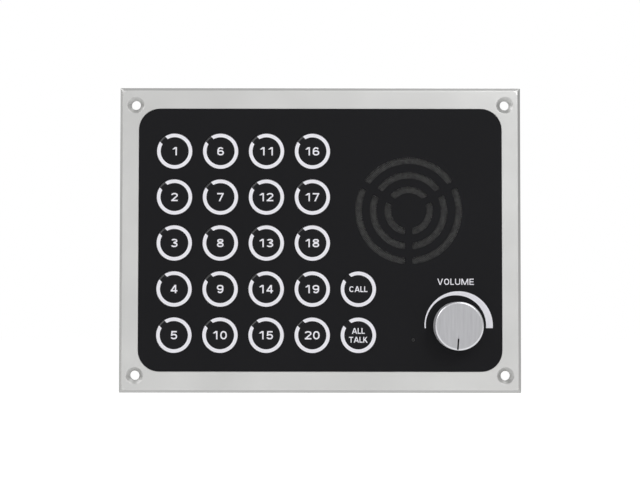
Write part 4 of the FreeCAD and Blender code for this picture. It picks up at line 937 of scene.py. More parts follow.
def lamp_lens(recipe, scene):
    """Clear red lens of an unlit lamp."""
    core = recipe.noise(0.6 * MM)
    recipe.surface({
        "Base Color": recipe.blend(core, (0.40, 0.045, 0.035, 1), (0.62, 0.090, 0.060, 1)),
        "Roughness": 0.15 + 0.05 * core,
    })


def ferrite(recipe, scene):
    """Sintered magnet."""
    plastic(recipe, (0.016, 0.016, 0.018, 1), (0.034, 0.034, 0.036, 1), 0.4 * MM)


def cone_paper(recipe, scene):
    """Pressed paper pulp."""
    rubber(recipe, (0.016, 0.016, 0.017, 1), (0.045, 0.044, 0.042, 1), 0.5 * MM)


def copper_wire(recipe, scene):
    """Enamelled copper turns."""
    turns = recipe.node("ShaderNodeTexWave", {"bands_direction": "Y"},
                        {"Vector": recipe.place(), "Scale": 900.0})
    recipe.surface({
        "Base Color": recipe.blend(turns, (0.30, 0.10, 0.04, 1), (0.72, 0.30, 0.14, 1)),
        "Metallic": 1.0,
        "Roughness": 0.30 + 0.10 * turns,
    })


def spider_cloth(recipe, scene):
    """Resin-stiffened cloth."""
    rubber(recipe, (0.34, 0.22, 0.08, 1), (0.52, 0.36, 0.16, 1), 0.35 * MM)


def transformer_iron(recipe, scene):
    """Varnished laminations."""
    leaves = recipe.node("ShaderNodeTexWave", {"bands_direction": "Y"},
                         {"Vector": recipe.place(), "Scale": 300.0})
    recipe.surface({
        "Base Color": recipe.blend(leaves, (0.040, 0.034, 0.030, 1), (0.110, 0.095, 0.082, 1)),
        "Metallic": 0.6,
        "Roughness": 0.40 + 0.12 * leaves,
        "Normal": recipe.bump(leaves, 0.1 * MM),
    })


def capacitor_sleeve(recipe, scene):
    """Shrunk plastic sleeve."""
    plastic(recipe, (0.010, 0.014, 0.045, 1), (0.018, 0.024, 0.070, 1))


def pointer_black(recipe, scene):
    """Matt paint in the pointer's groove."""
    grain = recipe.noise(0.1 * MM)
    recipe.surface({
        "Base Color": recipe.blend(grain, (0.003, 0.003, 0.003, 1), (0.006, 0.006, 0.006, 1)),
        "Roughness": 0.55 + 0.15 * grain,
        "Specular IOR Level": 0.05,
    })


def finish(name):
    """The material of that name, made when it is first asked for."""
    found = bpy.data.materials.get(f"station_{name}")
    if found is None:
        found = bpy.data.materials.new(f"station_{name}")
        globals()[name](Recipe(found), bpy.context.scene)
    return found


# Outlines seen from the front, as lists of (x, z)


def arc(x, z, radius, start, end, steps):
    """Points along an arc from one angle to another, both ends included; angles in radians."""
    turns = [start + (end - start) * i / steps for i in range(steps + 1)]
    return [(x + radius * math.cos(turn), z + radius * math.sin(turn)) for turn in turns]


def circle(x, z, radius, steps=TURN_STEPS):
    """A full circle, anticlockwise from the right."""
    return arc(x, z, radius, 0, 2 * math.pi * (steps - 1) / steps, steps - 1)


def rounded_box(x0, x1, z0, z1, radius, steps=CORNER_STEPS):
    """A rectangle with round corners, anticlockwise from the lower right."""
    corners = [(x1 - radius, z0 + radius), (x1 - radius, z1 - radius),
               (x0 + radius, z1 - radius), (x0 + radius, z0 + radius)]
    points = []
    for count, (x, z) in enumerate(corners):
        start = (count - 1) * math.pi / 2
        points += arc(x, z, radius, start, start + math.pi / 2, steps)
    return points


def ring_slot(x, z, inner, outer, spokes, half, corner, cut=0.0):
    """A piece of a ring between two spokes, its ends along the spokes and its corners rounded.

    It runs anticlockwise from the first spoke to the second, and cut makes it larger all round.
    """
    big = outer + cut
    small = inner - cut
    side = half - cut + corner
    first, last = (math.radians(angle) for angle in spokes)
    lean_big = math.asin(side / (big - corner))
    lean_small = math.asin(side / (small + corner))
    right = math.pi / 2
    bend_steps = 4
    least_steps = 6

    def bend(spoke, way, reach, lean, start, end):
        turn = spoke + way * lean
        return arc(x + reach * math.cos(turn), z + reach * math.sin(turn), corner,
                   spoke + start, spoke + end, bend_steps)

    points = bend(first, 1, small + corner, lean_small, lean_small - math.pi, -right)
    points += bend(first, 1, big - corner, lean_big, -right, lean_big)
    steps = max(least_steps, round((last - first) * TURN_STEPS / (2 * math.pi)))
    points += arc(x, z, big, first + lean_big, last - lean_big, steps)[1:-1]
    points += bend(last, -1, big - corner, lean_big, -lean_big, right)
    points += bend(last, -1, small + corner, lean_small, right, math.pi - lean_small)
    points += arc(x, z, small, last - lean_small, first + lean_small, steps)[1:-1]
    return points


def sheet_rim(low, high, corner, steps=CORNER_STEPS):
    """The outline of a round-cornered sheet, which a cut makes smaller all round."""
    def outline(cut):
        return rounded_box(low.x + cut, high.x - cut, low.z + cut, high.z - cut, corner - cut, steps)
    return outline


def box_hole(x0, x1, z0, z1, corner):
    """The outline of a round-cornered opening, which a cut makes larger all round."""
    def outline(cut):
        return rounded_box(x0 - cut, x1 + cut, z0 - cut, z1 + cut, corner + cut)
    return outline


def round_hole(x, z, radius, steps=TURN_STEPS):
    """The outline of a round opening, which a cut makes larger."""
    def outline(cut):
        return circle(x, z, radius + cut, steps)
    return outline


def softened(points, reach, steps=3):
    """The line with each inner corner rounded off, and a short flat beside each round.

    The flats keep the shading of the faces beside the round even.
    """
    most_of_side = 0.4
    flat = 0.15
    corners = [Vector(point) for point in points]
    made = [corners[0]]
    for before, corner, after in zip(corners, corners[1:], corners[2:]):
        back = before - corner
        ahead = after - corner
        near = min(reach, most_of_side * back.length, most_of_side * ahead.length)
        back.normalize()
        ahead.normalize()
        start = corner + near * back
        end = corner + near * ahead
        made.append(start + flat * near * back)
        for count in range(steps + 1):
            share = count / steps
            made.append(start.lerp(corner, share).lerp(corner.lerp(end, share), share))
        made.append(end + flat * near * ahead)
    made.append(corners[-1])
    return [tuple(point) for point in made]


# Meshes


class Solid:
    """Gathers the faces of one piece from rings of points."""

    def __init__(self):
        self.mesh = bmesh.new()

    def ring(self, points, y):
        """One ring of corners in the plane at y."""
        return [self.mesh.verts.new((x, y, z)) for x, z in points]

    def wall(self, *rings):
        """Faces from each ring to the next. A ring of one corner closes the wall to a point."""
        for here, there in zip(rings, rings[1:]):
            count = max(len(here), len(there))
            for i in range(count):
                j = (i + 1) % count
                corners = [here[i], here[j]] if len(here) > 1 else [here[0]]
                corners += [there[j], there[i]] if len(there) > 1 else [there[0]]
                self.mesh.faces.new(corners)

    def edge(self, outline, path):
        """The walls of an outline along a path of (y, cut). Gives the first and the last ring."""
        rings = [self.ring(outline(cut), y) for y, cut in path]
        self.wall(*rings)
        return rings[0], rings[-1]

    def cap(self, *rings):
        """Fills the flat between the first ring and the rings inside it."""
        corners = [corner for ring in rings for corner in ring]
        for found in tessellate_polygon([[corner.co for corner in ring] for ring in rings]):
            self.mesh.faces.new([corners[i] for i in found])

    def turn(self, x, z, profile, steps=TURN_STEPS):
        """A shape turned about an axis along Y, from (radius, y). Radius 0 closes it."""
        rings = []
        for radius, y in profile:
            if radius > 0:
                rings.append(self.ring(circle(x, z, radius, steps), y))
            else:
                rings.append([self.mesh.verts.new((x, y, z))])
        self.wall(*rings)
        return rings

    def slab(self, outlines, front, rear):
        """A plain sheet between two places along Y: the first outline, less the others."""
        edges = [self.edge(lambda cut, points=points: points, [(front, 0), (rear, 0)])
                 for points in outlines]
        self.cap(*[edge[0] for edge in edges])
        self.cap(*[edge[1] for edge in edges])

    def take(self, mesh, matrix):
        """Adds the faces of a mesh, moved by a matrix."""
        mesh.transform(matrix)
        self.mesh.from_mesh(mesh)
        bpy.data.meshes.remove(mesh)

    def piece(self, name):
        """Ends the work: one object with its faces outward and its sharp edges marked."""
        bmesh.ops.recalc_face_normals(self.mesh, faces=self.mesh.faces[:])
        for face in self.mesh.faces:
            face.smooth = True
        for edge in self.mesh.edges:
            if len(edge.link_faces) == 2 and edge.calc_face_angle() > CREASE:
                edge.smooth = False
        data = bpy.data.meshes.new(name)
        self.mesh.to_mesh(data)
        self.mesh.free()
        made = bpy.data.objects.new(name, data)
        bpy.context.scene.collection.objects.link(made)
        return made


def combine(piece, other, operation):
    """Cuts another object out of a piece or joins it to the piece, and throws the other away."""
    modifier = piece.modifiers.new("Combine", "BOOLEAN")
    modifier.operation = operation
    modifier.solver = "EXACT"
    modifier.object = other
    bpy.context.view_layer.update()
    made = bpy.data.meshes.new_from_object(piece.evaluated_get(bpy.context.evaluated_depsgraph_get()))
    piece.modifiers.clear()
    old = piece.data
    piece.data = made
    bpy.data.meshes.remove(old)
    bpy.data.objects.remove(other)


def dress(piece, body, slot, finishes=()):
    """Gives a piece its finishes and its slot, and seats it on a body."""
    for name in finishes or (slot,):
        piece.data.materials.append(finish(name))
    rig.ride(piece, body)
    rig.slot(piece, slot)
    return piece


def middle(node):
    """The middle of a node's box."""
    low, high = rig.box(node)
    return (low + high) / 2


# Lettering: plain figures and capitals, each drawn with strokes of one width


SIGN_WIDTHS = {"1": 0.53, "A": 0.90, "C": 0.83, "E": 0.71, "K": 0.76, "L": 0.57, "M": 1.12,
               "O": 0.83, "T": 0.72, "U": 0.83, "V": 0.90}
DIGIT_WIDTH = 0.80
ONE_BESIDE = 0.14
SQUARENESS = 0.90
SIGN_MESHES = {}


class Pen:
    """Draws strokes of one width inside the box of a sign, whose lower left corner is the origin."""

    def __init__(self, width, height, stroke):
        self.width = width
        self.height = height
        self.half = stroke / 2
        self.shapes = []

    def bar(self, x0, z0, x1, z1):
        """A straight stroke with level ends."""
        run = math.hypot(x1 - x0, z1 - z0)
        reach = self.half * run / abs(z1 - z0)
        self.shapes.append([[(x0 - reach, z0), (x0 + reach, z0), (x1 + reach, z1), (x1 - reach, z1)]])

    def level(self, x0, x1, z):
        """A level stroke."""
        self.shapes.append([[(x0, z - self.half), (x1, z - self.half), (x1, z + self.half),
                             (x0, z + self.half)]])

    def bow(self, z, across, up, start, end):
        """A bent stroke about a point on the middle line, from one angle in degrees to another."""
        degrees_a_step = 8
        least_steps = 6
        count = max(least_steps, round(abs(end - start) / degrees_a_step))
        lines = []
        for reach in (self.half, -self.half):
            line = []
            for step in range(count + 1):
                turn = math.radians(start + (end - start) * step / count)
                parts = [math.copysign(abs(part) ** SQUARENESS, part)
                         for part in (math.cos(turn), math.sin(turn))]
                line.append((self.width / 2 + (across + reach) * parts[0], z + (up + reach) * parts[1]))
            lines.append(line)
        if abs(end - start) == 360:
            self.shapes.append([line[:-1] for line in lines])
        else:
            self.shapes.append([lines[0] + lines[1][::-1]])

    def turned(self):
        """The same strokes upside down."""
        self.shapes = [[[(self.width - x, self.height - z) for x, z in line] for line in lines]
                       for lines in self.shapes]


def draw_sign(pen, sign):
    """The strokes of one figure or capital."""
    wide, tall, half = pen.width, pen.height, pen.half
    centre, right, top = wide / 2, wide - half, tall - half
    across, up = centre - half, tall / 2 - half
    if sign in "0O":
        pen.bow(tall / 2, across, up, 0, 360)
    elif sign == "1":
        pen.bar(right, 0, right, tall)
        pen.bar(half, 0.72 * tall, right - 0.4 * half, tall)
    elif sign == "2":
        pen.bow(0.715 * tall, across, 0.285 * tall - half, 172, -38)
        pen.bar(1.15 * half, half, centre + 0.74 * across, 0.58 * tall)
        pen.level(0, wide, half)
    elif sign == "3":
        pen.bow(0.755 * tall, 0.92 * across, 0.245 * tall - half, 158, -90)
        pen.bow(0.275 * tall, across, 0.275 * tall - half, 90, -160)
        pen.level(0.36 * wide, centre, 0.53 * tall)
    elif sign == "4":
        pen.bar(0.72 * wide, 0, 0.72 * wide, tall)
        pen.bar(0.9 * half, 0.30 * tall, 0.72 * wide - 0.2 * half, tall)
        pen.level(0, wide, 0.28 * tall)
    elif sign == "5":
        pen.level(0.17 * wide, 0.94 * wide, top)
        pen.bar(0.05 * wide + half, 0.42 * tall, 0.14 * wide + half, tall)
        pen.bow(0.33 * tall, across, 0.33 * tall - half, 138, -160)
    elif sign in "69":
        pen.bow(0.315 * tall, across, 0.315 * tall - half, 0, 360)
        pen.bow(tall / 2, across, up, 205, 38)
        if sign == "9":
            pen.turned()
    elif sign == "7":
        pen.level(0, wide, top)
        pen.bar(0.34 * wide, 0, wide - 1.1 * half, top)
    elif sign == "8":
        pen.bow(0.755 * tall, 0.90 * across, 0.245 * tall - half, 0, 360)
        pen.bow(0.275 * tall, across, 0.275 * tall - half, 0, 360)
    elif sign == "A":
        pen.bar(half, 0, centre - 0.2 * half, tall)
        pen.bar(right, 0, centre + 0.2 * half, tall)
        pen.level(0.22 * wide, 0.78 * wide, 0.30 * tall)
    elif sign == "C":
        pen.bow(tall / 2, across, up, 42, 318)
    elif sign == "E":
        pen.bar(half, 0, half, tall)
        for share, z in ((1.0, half), (0.92, tall / 2), (0.97, top)):
            pen.level(half, share * wide, z)
    elif sign == "K":
        pen.bar(half, 0, half, tall)
        pen.bar(half, 0.30 * tall, right - half, tall)
        pen.bar(0.36 * wide, 0.56 * tall, right - 0.3 * half, 0)
    elif sign == "L":
        pen.bar(half, 0, half, tall)
        pen.level(half, wide, half)
    elif sign == "M":
        for side, way in ((half, 1), (right, -1)):
            pen.bar(side, 0, side, tall)
            pen.bar(centre - way * 0.2 * half, 0, side + way * 0.5 * half, tall)
    elif sign == "T":
        pen.level(0, wide, top)
        pen.bar(centre, 0, centre, top)
    elif sign == "U":
        pen.bow(0.36 * tall, across, 0.36 * tall - half, 180, 360)
        for side in (half, right):
            pen.bar(side, 0.355 * tall, side, tall)
    elif sign == "V":
        pen.bar(centre - 0.2 * half, 0, half, tall)
        pen.bar(centre + 0.2 * half, 0, right, tall)


def sign_mesh(sign, width, height, stroke, thickness):
    """One figure or capital as a thin solid, kept for the next time that it is printed."""
    name = f"sign_{sign}_{height / MM:.2f}"
    if name not in SIGN_MESHES:
        pen = Pen(width, height, stroke)
        draw_sign(pen, sign)
        whole = None
        for outlines in pen.shapes:
            solid = Solid()
            solid.slab(outlines, 0, thickness)
            part = solid.piece(name)
            if whole is None:
                whole = part
            else:
                combine(whole, part, "UNION")
        SIGN_MESHES[name] = whole.data
        bpy.data.objects.remove(whole)
    return SIGN_MESHES[name].copy()


def write(solid, text, height, stroke, gap, x, z, front, thickness):
    """Adds a line of signs with its middle at a point."""
    places = []
    cursor = 0.0
    for sign in text:
        beside = ONE_BESIDE * height if sign == "1" else 0.0
        width = SIGN_WIDTHS.get(sign, DIGIT_WIDTH) * height
        cursor += gap + beside if places else 0.0
        places.append((sign, width, cursor))
        cursor += width + beside
    end = places[-1][1] + places[-1][2]
    for sign, width, start in places:
        mesh = sign_mesh(sign, width, height, stroke, thickness)
        solid.take(mesh, Matrix.Translation((x - end / 2 + start, front, z - height / 2)))


# Operators


class STATION_OT_front_plate(bpy.types.Operator):
    """Satin aluminium plate with its bevel, foil recess, countersinks and gasket groove"""

    bl_idname = "station.front_plate"
    bl_label = "Front plate"

    def execute(self, context):
        plate = context.scene.station_plate
        keys = context.scene.station_keys
        housing = context.scene.station_housing
        low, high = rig.box("front_plate")
        seat = low.y + plate.foil_recess
        mesh_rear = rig.box("speaker_mesh")[1].y
        least_corner = 0.2 * MM
        corner_growth = 4
        bevel_share = 0.4
        rim_lap = 0.8 * MM
        recess_lap = 0.6 * MM
        recess_round = 0.12 * MM
        sink_round = 0.14 * MM
        key_gap = 0.2 * MM
        bushing_hole = 3.6 * MM

        def outer(cut):
            share = min(1.0, max(0.0, cut / plate.bevel_width)) ** corner_growth
            corner = plate.outer_corner + share * (plate.face_corner - plate.outer_corner)
            corner = max(least_corner, corner - max(0.0, cut - plate.bevel_width))
            return rounded_box(low.x + cut, high.x - cut, low.z + cut, high.z - cut, corner)

        solid = Solid()
        path = [(low.y, plate.bevel_width + rim_lap), (low.y, plate.bevel_width),
                (low.y + bevel_share * plate.bevel_depth, (1 - bevel_share) * plate.bevel_width),
                (low.y + plate.bevel_depth, 0), (high.y, 0), (high.y, LAP)]
        rim = solid.edge(outer, softened(path, plate.edge_round))

        foil_low, foil_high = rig.box("front_foil")
        gap = plate.foil_gap
        recess = box_hole(foil_low.x - gap, foil_high.x + gap, foil_low.z - gap, foil_high.z + gap,
                          plate.foil_corner + gap)
        path = [(low.y, recess_lap), (low.y, 0), (seat, 0), (seat, -LAP)]
        pocket = solid.edge(recess, softened(path, recess_round))

        sinks = []
        radius = plate.screw_hole / 2
        flare = plate.countersink / 2 - radius
        path = [(low.y, flare + HOLE_LAP), (low.y, flare), (low.y + flare, 0), (high.y, 0),
                (high.y, HOLE_LAP)]
        for x in (low.x + plate.screw_inset_x, high.x - plate.screw_inset_x):
            for z in (low.z + plate.screw_inset_z, high.z - plate.screw_inset_z):
                sink = round_hole(x, z, radius, SINK_STEPS)
                sinks.append(solid.edge(sink, softened(path, sink_round)))

        def through(points, front):
            return solid.edge(lambda cut: points, [(front, 0), (high.y, 0)])

        holes = [through(circle(middle(name).x, middle(name).z, keys.cap / 2 + key_gap), seat)
                 for name in KEYS]
        bushing = middle("pot_bushing")
        holes.append(through(circle(bushing.x, bushing.z, bushing_hole), seat))
        sound = middle("mic_boot")
        holes.append(through(circle(sound.x, sound.z, SOUND_HOLE, SMALL_STEPS), seat))
        at = middle("speaker_mesh")
        mesh_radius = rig.box("speaker_mesh")[1].x - at.x + gap
        bed = solid.edge(round_hole(at.x, at.z, mesh_radius),
                         [(seat, 0), (mesh_rear, 0), (mesh_rear, -LAP)])
        slots = [through(points, mesh_rear) for points in sound_slots(plate, 0.0)]

        gasket_low, gasket_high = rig.box("panel_gasket")

        def groove(inset, corner):
            points = rounded_box(gasket_low.x + inset, gasket_high.x - inset, gasket_low.z + inset,
                                 gasket_high.z - inset, corner)
            return solid.edge(lambda cut: points, [(high.y, 0), (gasket_low.y, 0)])

        outside = groove(0, housing.gasket_corner)
        inside = groove(housing.gasket_width, housing.gasket_corner - housing.gasket_width)
        solid.cap(rim[0], pocket[0], *[sink[0] for sink in sinks])
        solid.cap(pocket[1], bed[0], *[hole[0] for hole in holes])
        solid.cap(bed[1], *[slot[0] for slot in slots])
        solid.cap(rim[1], outside[0], *[sink[1] for sink in sinks])
        solid.cap(inside[0], *[hole[1] for hole in holes], *[slot[1] for slot in slots])
        solid.cap(outside[1], inside[1])
        piece = dress(solid.piece("plate_satin"), PANEL, "satin_aluminium",
                      ["satin_aluminium", "machined_bevel"])
        # The bevel's faces, corners included, take the bevel finish, whose darker colour is painted shade.
        near = plate.bevel_width + plate.face_corner
        facing_front = -0.97
        for part in piece.data.polygons:
            spot = part.center
            inset_x = min(spot.x - low.x, high.x - spot.x)
            inset_z = min(spot.z - low.z, high.z - spot.z)
            on_bevel = min(inset_x, inset_z) < plate.bevel_width
            in_corner = inset_x < near and inset_z < near
            if part.normal.y > facing_front and (on_bevel or in_corner):
                part.material_index = 1
        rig.replaces(piece, "front_plate")
        return {"FINISHED"}


def sound_slots(plate, cut):
    """The outlines of the nine sound slots."""
    at = middle("speaker_mesh")
    outlines = []
    for count in range(SLOT_RINGS):
        radius = plate.slot_radius + count * plate.slot_pitch
        for first in SPOKE_ANGLES:
            outlines.append(ring_slot(at.x, at.z, radius - plate.slot_width / 2,
                                      radius + plate.slot_width / 2, (first, first + SPOKE_STEP),
                                      plate.spoke_width / 2, plate.slot_corner, cut))
    return outlines


class STATION_OT_front_foil(bpy.types.Operator):
    """Black foil with openings for the keys, the sound slots, the knob and the microphone"""

    bl_idname = "station.front_foil"
    bl_label = "Front foil"

    def execute(self, context):
        plate = context.scene.station_plate
        keys = context.scene.station_keys
        volume = context.scene.station_volume
        low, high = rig.box("front_foil")
        key_gap = 0.1 * MM
        path = softened([(low.y, LAP), (low.y, 0), (high.y, 0)], plate.foil_edge)
        solid = Solid()
        edges = [solid.edge(sheet_rim(low, high, plate.foil_corner, FOIL_CORNER_STEPS), path)]
        path = softened([(low.y, HOLE_LAP), (low.y, 0), (high.y, 0)], plate.foil_edge)
        rounds = [(middle(name), keys.cap / 2 + key_gap) for name in KEYS]
        rounds += [(middle("volume_knob"), volume.bore / 2), (middle("mic_boot"), SOUND_HOLE)]
        for at, radius in rounds:
            edges.append(solid.edge(round_hole(at.x, at.z, radius, KEY_STEPS), path))
        for count in range(SLOT_RINGS * len(SPOKE_ANGLES)):
            edges.append(solid.edge(lambda cut: sound_slots(plate, cut)[count], path))
        solid.cap(*[edge[0] for edge in edges])
        solid.cap(*[edge[1] for edge in edges])
        piece = dress(solid.piece("foil_black"), PANEL, "black_foil")
        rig.replaces(piece, "front_foil")
        return {"FINISHED"}


class STATION_OT_sound_mesh(bpy.types.Operator):
    """Woven wire cloth behind the sound slots"""

    bl_idname = "station.sound_mesh"
    bl_label = "Sound mesh"

    def execute(self, context):
        plate = context.scene.station_plate
        low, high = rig.box("speaker_mesh")
        at = (low + high) / 2
        reach = (high.x - low.x) / 2
        lift = (high.y - low.y) / 4
        pitch = plate.wire_pitch
        half = plate.wire_width / 2
        lines = int(reach / pitch)
        solid = Solid()
        for turn, phase in ((math.radians(45), 0), (math.radians(135), 1)):
            along = Vector((math.cos(turn), 0, math.sin(turn)))
            across = Vector((-math.sin(turn), 0, math.cos(turn)))
            for line in range(-lines, lines + 1):
                knots = int(math.sqrt(max(0.0, reach ** 2 - (line * pitch) ** 2)) / pitch)
                rings = []
                for knot in range(-knots, knots + 1):
                    up = lift if (line + knot + phase) % 2 else -lift
                    centre = at + along * (knot * pitch) + across * (line * pitch) + Vector((0, up, 0))
                    offsets = (across * half, Vector((0, lift, 0)), across * -half, Vector((0, -lift, 0)))
                    rings.append([solid.mesh.verts.new(centre + offset) for offset in offsets])
                if len(rings) > 1:
                    solid.wall(*rings)
                    solid.mesh.faces.new(rings[0])
                    solid.mesh.faces.new(rings[-1])
        piece = dress(solid.piece("sound_mesh_woven"), PANEL, "dark_mesh")
        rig.replaces(piece, "speaker_mesh")
        return {"FINISHED"}


class STATION_OT_keys(bpy.types.Operator):
    """Key caps with their flange and stem"""

    bl_idname = "station.keys"
    bl_label = "Keys"

    def execute(self, context):
        keys = context.scene.station_keys
        for name in KEYS:
            low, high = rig.box(name)
            at = (low + high) / 2
            flange = (high.x - low.x) / 2
            flange_rear = keys.flange_front + keys.flange_thickness
            face = [(0, low.y), (keys.cap / 2, low.y), (keys.cap / 2, keys.flange_front)]
            behind = [(flange, keys.flange_front), (flange, flange_rear), (keys.stem / 2, flange_rear),
                      (keys.stem / 2, high.y), (0, high.y)]
            solid = Solid()
            solid.turn(at.x, at.z, softened(face, keys.cap_edge) + behind, KEY_STEPS)
            piece = dress(solid.piece(f"{name}_cap"), name, "key_black")
            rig.replaces(piece, name)
        return {"FINISHED"}


class STATION_OT_key_prints(bpy.types.Operator):
    """Printed rings, numbers and words on the keys, and their signal windows"""

    bl_idname = "station.key_prints"
    bl_label = "Key prints"

    def execute(self, context):
        keys = context.scene.station_keys
        ring_corner = 0.12 * MM
        pane_gap = 0.05 * MM
        for name in KEYS:
            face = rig.box(name)[0].y
            front = face - keys.print_height
            rear = face + keys.print_height
            at = middle(name)
            gap = (WINDOW_ANGLE, WINDOW_ANGLE + 360)
            ring = ring_slot(at.x, at.z, keys.ring_inner, keys.ring_outer, gap, keys.ring_gap / 2,
                             ring_corner)
            solid = Solid()
            solid.slab([ring], front, rear)
            dress(solid.piece(f"{name}_ring"), name, "key_black", ["white_ink"])

            half = keys.ring_gap / 2 - pane_gap
            middle_turn = math.radians(WINDOW_ANGLE)
            swing = math.asin(half / keys.ring_outer)
            swing_inner = math.asin(half / keys.window_inner)
            pane = arc(at.x, at.z, keys.ring_outer, middle_turn - swing, middle_turn + swing,
                       CORNER_STEPS)
            pane += arc(at.x, at.z, keys.window_inner, middle_turn + swing_inner,
                        middle_turn - swing_inner, CORNER_STEPS)
            solid = Solid()
            solid.slab([pane], front, rear)
            tint = "dark_window" if name in WORDS else "smoky_window"
            dress(solid.piece(f"{name}_window"), name, "lamp_lens", [tint])

            solid = Solid()
            if name in WORDS:
                lines = WORDS[name]
                for count, word in enumerate(lines):
                    z = at.z + (len(lines) - 1 - 2 * count) * keys.line_pitch / 2
                    write(solid, word, keys.word_height, keys.word_stroke, keys.word_gap, at.x, z,
                          front, 2 * keys.print_height)
            else:
                write(solid, str(int(name[4:])), keys.digit_height, keys.digit_stroke, keys.digit_gap,
                      at.x, at.z, front, 2 * keys.print_height)
            dress(solid.piece(f"{name}_legend"), name, "key_black", ["white_ink"])
        return {"FINISHED"}


class STATION_OT_volume_scale(bpy.types.Operator):
    """Printed crescent and word round the volume knob"""

    bl_idname = "station.volume_scale"
    bl_label = "Volume scale"

    def execute(self, context):
        volume = context.scene.station_volume
        ink = context.scene.station_keys.print_height
        knob = middle("volume_knob")
        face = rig.box("front_foil")[0].y
        dip = math.asin(volume.scale_drop / volume.scale_radius)
        dip_inner = math.asin(volume.scale_drop / volume.scale_inner)
        rise = knob.z + volume.scale_rise
        steps = TURN_STEPS // 2
        crescent = arc(knob.x + volume.scale_right, rise, volume.scale_radius, -dip, math.pi + dip,
                       steps)
        crescent += arc(knob.x - volume.scale_left, rise, volume.scale_inner,
                        math.pi + dip_inner, -dip_inner, steps)
        solid = Solid()
        solid.slab([crescent], face - ink, face + ink)
        dress(solid.piece("volume_crescent"), PANEL, "black_foil", ["white_ink"])
        solid = Solid()
        write(solid, "VOLUME", volume.word_height, volume.word_stroke, volume.word_gap,
              knob.x - volume.word_shift, knob.z + volume.word_rise, face - ink, 2 * ink)
        dress(solid.piece("volume_word"), PANEL, "black_foil", ["white_ink"])
        return {"FINISHED"}


class STATION_OT_volume_knob(bpy.types.Operator):
    """Turned and brushed knob with its pointer line and the hole for the grub screw"""

    bl_idname = "station.volume_knob"
    bl_label = "Volume knob"

    def execute(self, context):
        volume = context.scene.station_volume
        low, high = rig.box("volume_knob")
        at = (low + high) / 2
        base = (high.x - low.x) / 2
        floor = high.y - volume.bore_depth
        wall = low.y + volume.front_wall
        rear_round = 0.16 * MM
        face_band = 0.02 * MM
        edge_band = 0.25 * MM
        paint_sink = 0.04 * MM
        outside = [(0, low.y), (base - volume.chamfer, low.y), (base, low.y + volume.chamfer_depth),
                   (base, high.y - LAP)]
        inside = [(base, high.y - LAP), (base, high.y), (volume.bore / 2, high.y),
                  (volume.bore / 2, floor), (volume.shaft / 2, floor), (volume.shaft / 2, wall), (0, wall)]
        solid = Solid()
        profile = softened(outside, volume.edge_round) + softened(inside, rear_round)[1:]
        solid.turn(at.x, at.z, profile, KNOB_STEPS)
        knob = solid.piece("knob_turned")

        grub = middle("knob_grub_screw")
        hole = volume.grub_hole / 2
        solid = Solid()
        solid.turn(0, 0, [(0, 0), (hole, 0), (hole, base + CUTTER_REACH), (0, base + CUTTER_REACH)],
                   SCREW_STEPS)
        drill = solid.piece("drill")
        drill.data.transform(Matrix.Rotation(math.radians(90), 4, "X"))
        drill.data.transform(Matrix.Translation((at.x, grub.y, at.z + volume.shaft / 4)))
        combine(knob, drill, "DIFFERENCE")

        half = volume.pointer_width / 2
        inner = volume.pointer_length - base
        place = Matrix.Translation((at.x, 0, at.z)) @ Matrix.Rotation(volume.pointer_lean, 4, "Y")

        def pointer(name, outer, front):
            line = Solid()
            line.slab([[(-half, outer), (half, outer), (half, inner), (-half, inner)]], front,
                      low.y + volume.pointer_depth)
            piece = line.piece(name)
            piece.data.transform(place)
            return piece

        combine(knob, pointer("groove", -base - CUTTER_REACH, low.y - CUTTER_REACH), "DIFFERENCE")
        dress(knob, "volume_control", "turned_aluminium",
              ["satin_side", "brushed_aluminium", "turned_aluminium"])
        # The chamfer and its rounds take the turned finish, whose lifted colour is a painted highlight on the knob's
        # rim.
        for part in knob.data.polygons:
            if part.center.y < low.y + face_band:
                part.material_index = 1
            elif part.center.y < low.y + volume.chamfer_depth + edge_band:
                part.material_index = 2
        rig.replaces(knob, "volume_knob")
        dress(pointer("knob_pointer", volume.chamfer / 2 - base, low.y + paint_sink), "volume_control",
              "black_plastic", ["pointer_black"])
        return {"FINISHED"}


class STATION_OT_panel_gasket(bpy.types.Operator):
    """Rubber ring in the rear of the plate"""

    bl_idname = "station.panel_gasket"
    bl_label = "Panel gasket"

    def execute(self, context):
        housing = context.scene.station_housing
        low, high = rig.box("panel_gasket")
        rear_lap = 0.6 * MM
        rear_round = 0.4 * MM

        def inner(cut):
            inset = housing.gasket_width - cut
            return rounded_box(low.x + inset, high.x - inset, low.z + inset, high.z - inset,
                               housing.gasket_corner - inset)

        path = softened([(low.y, 0), (high.y, 0), (high.y, rear_lap)], rear_round)
        solid = Solid()
        edges = [solid.edge(sheet_rim(low, high, housing.gasket_corner), path), solid.edge(inner, path)]
        solid.cap(edges[0][0], edges[1][0])
        solid.cap(edges[0][1], edges[1][1])
        piece = dress(solid.piece("gasket_rubber"), PANEL, "black_rubber")
        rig.replaces(piece, "panel_gasket")
        return {"FINISHED"}


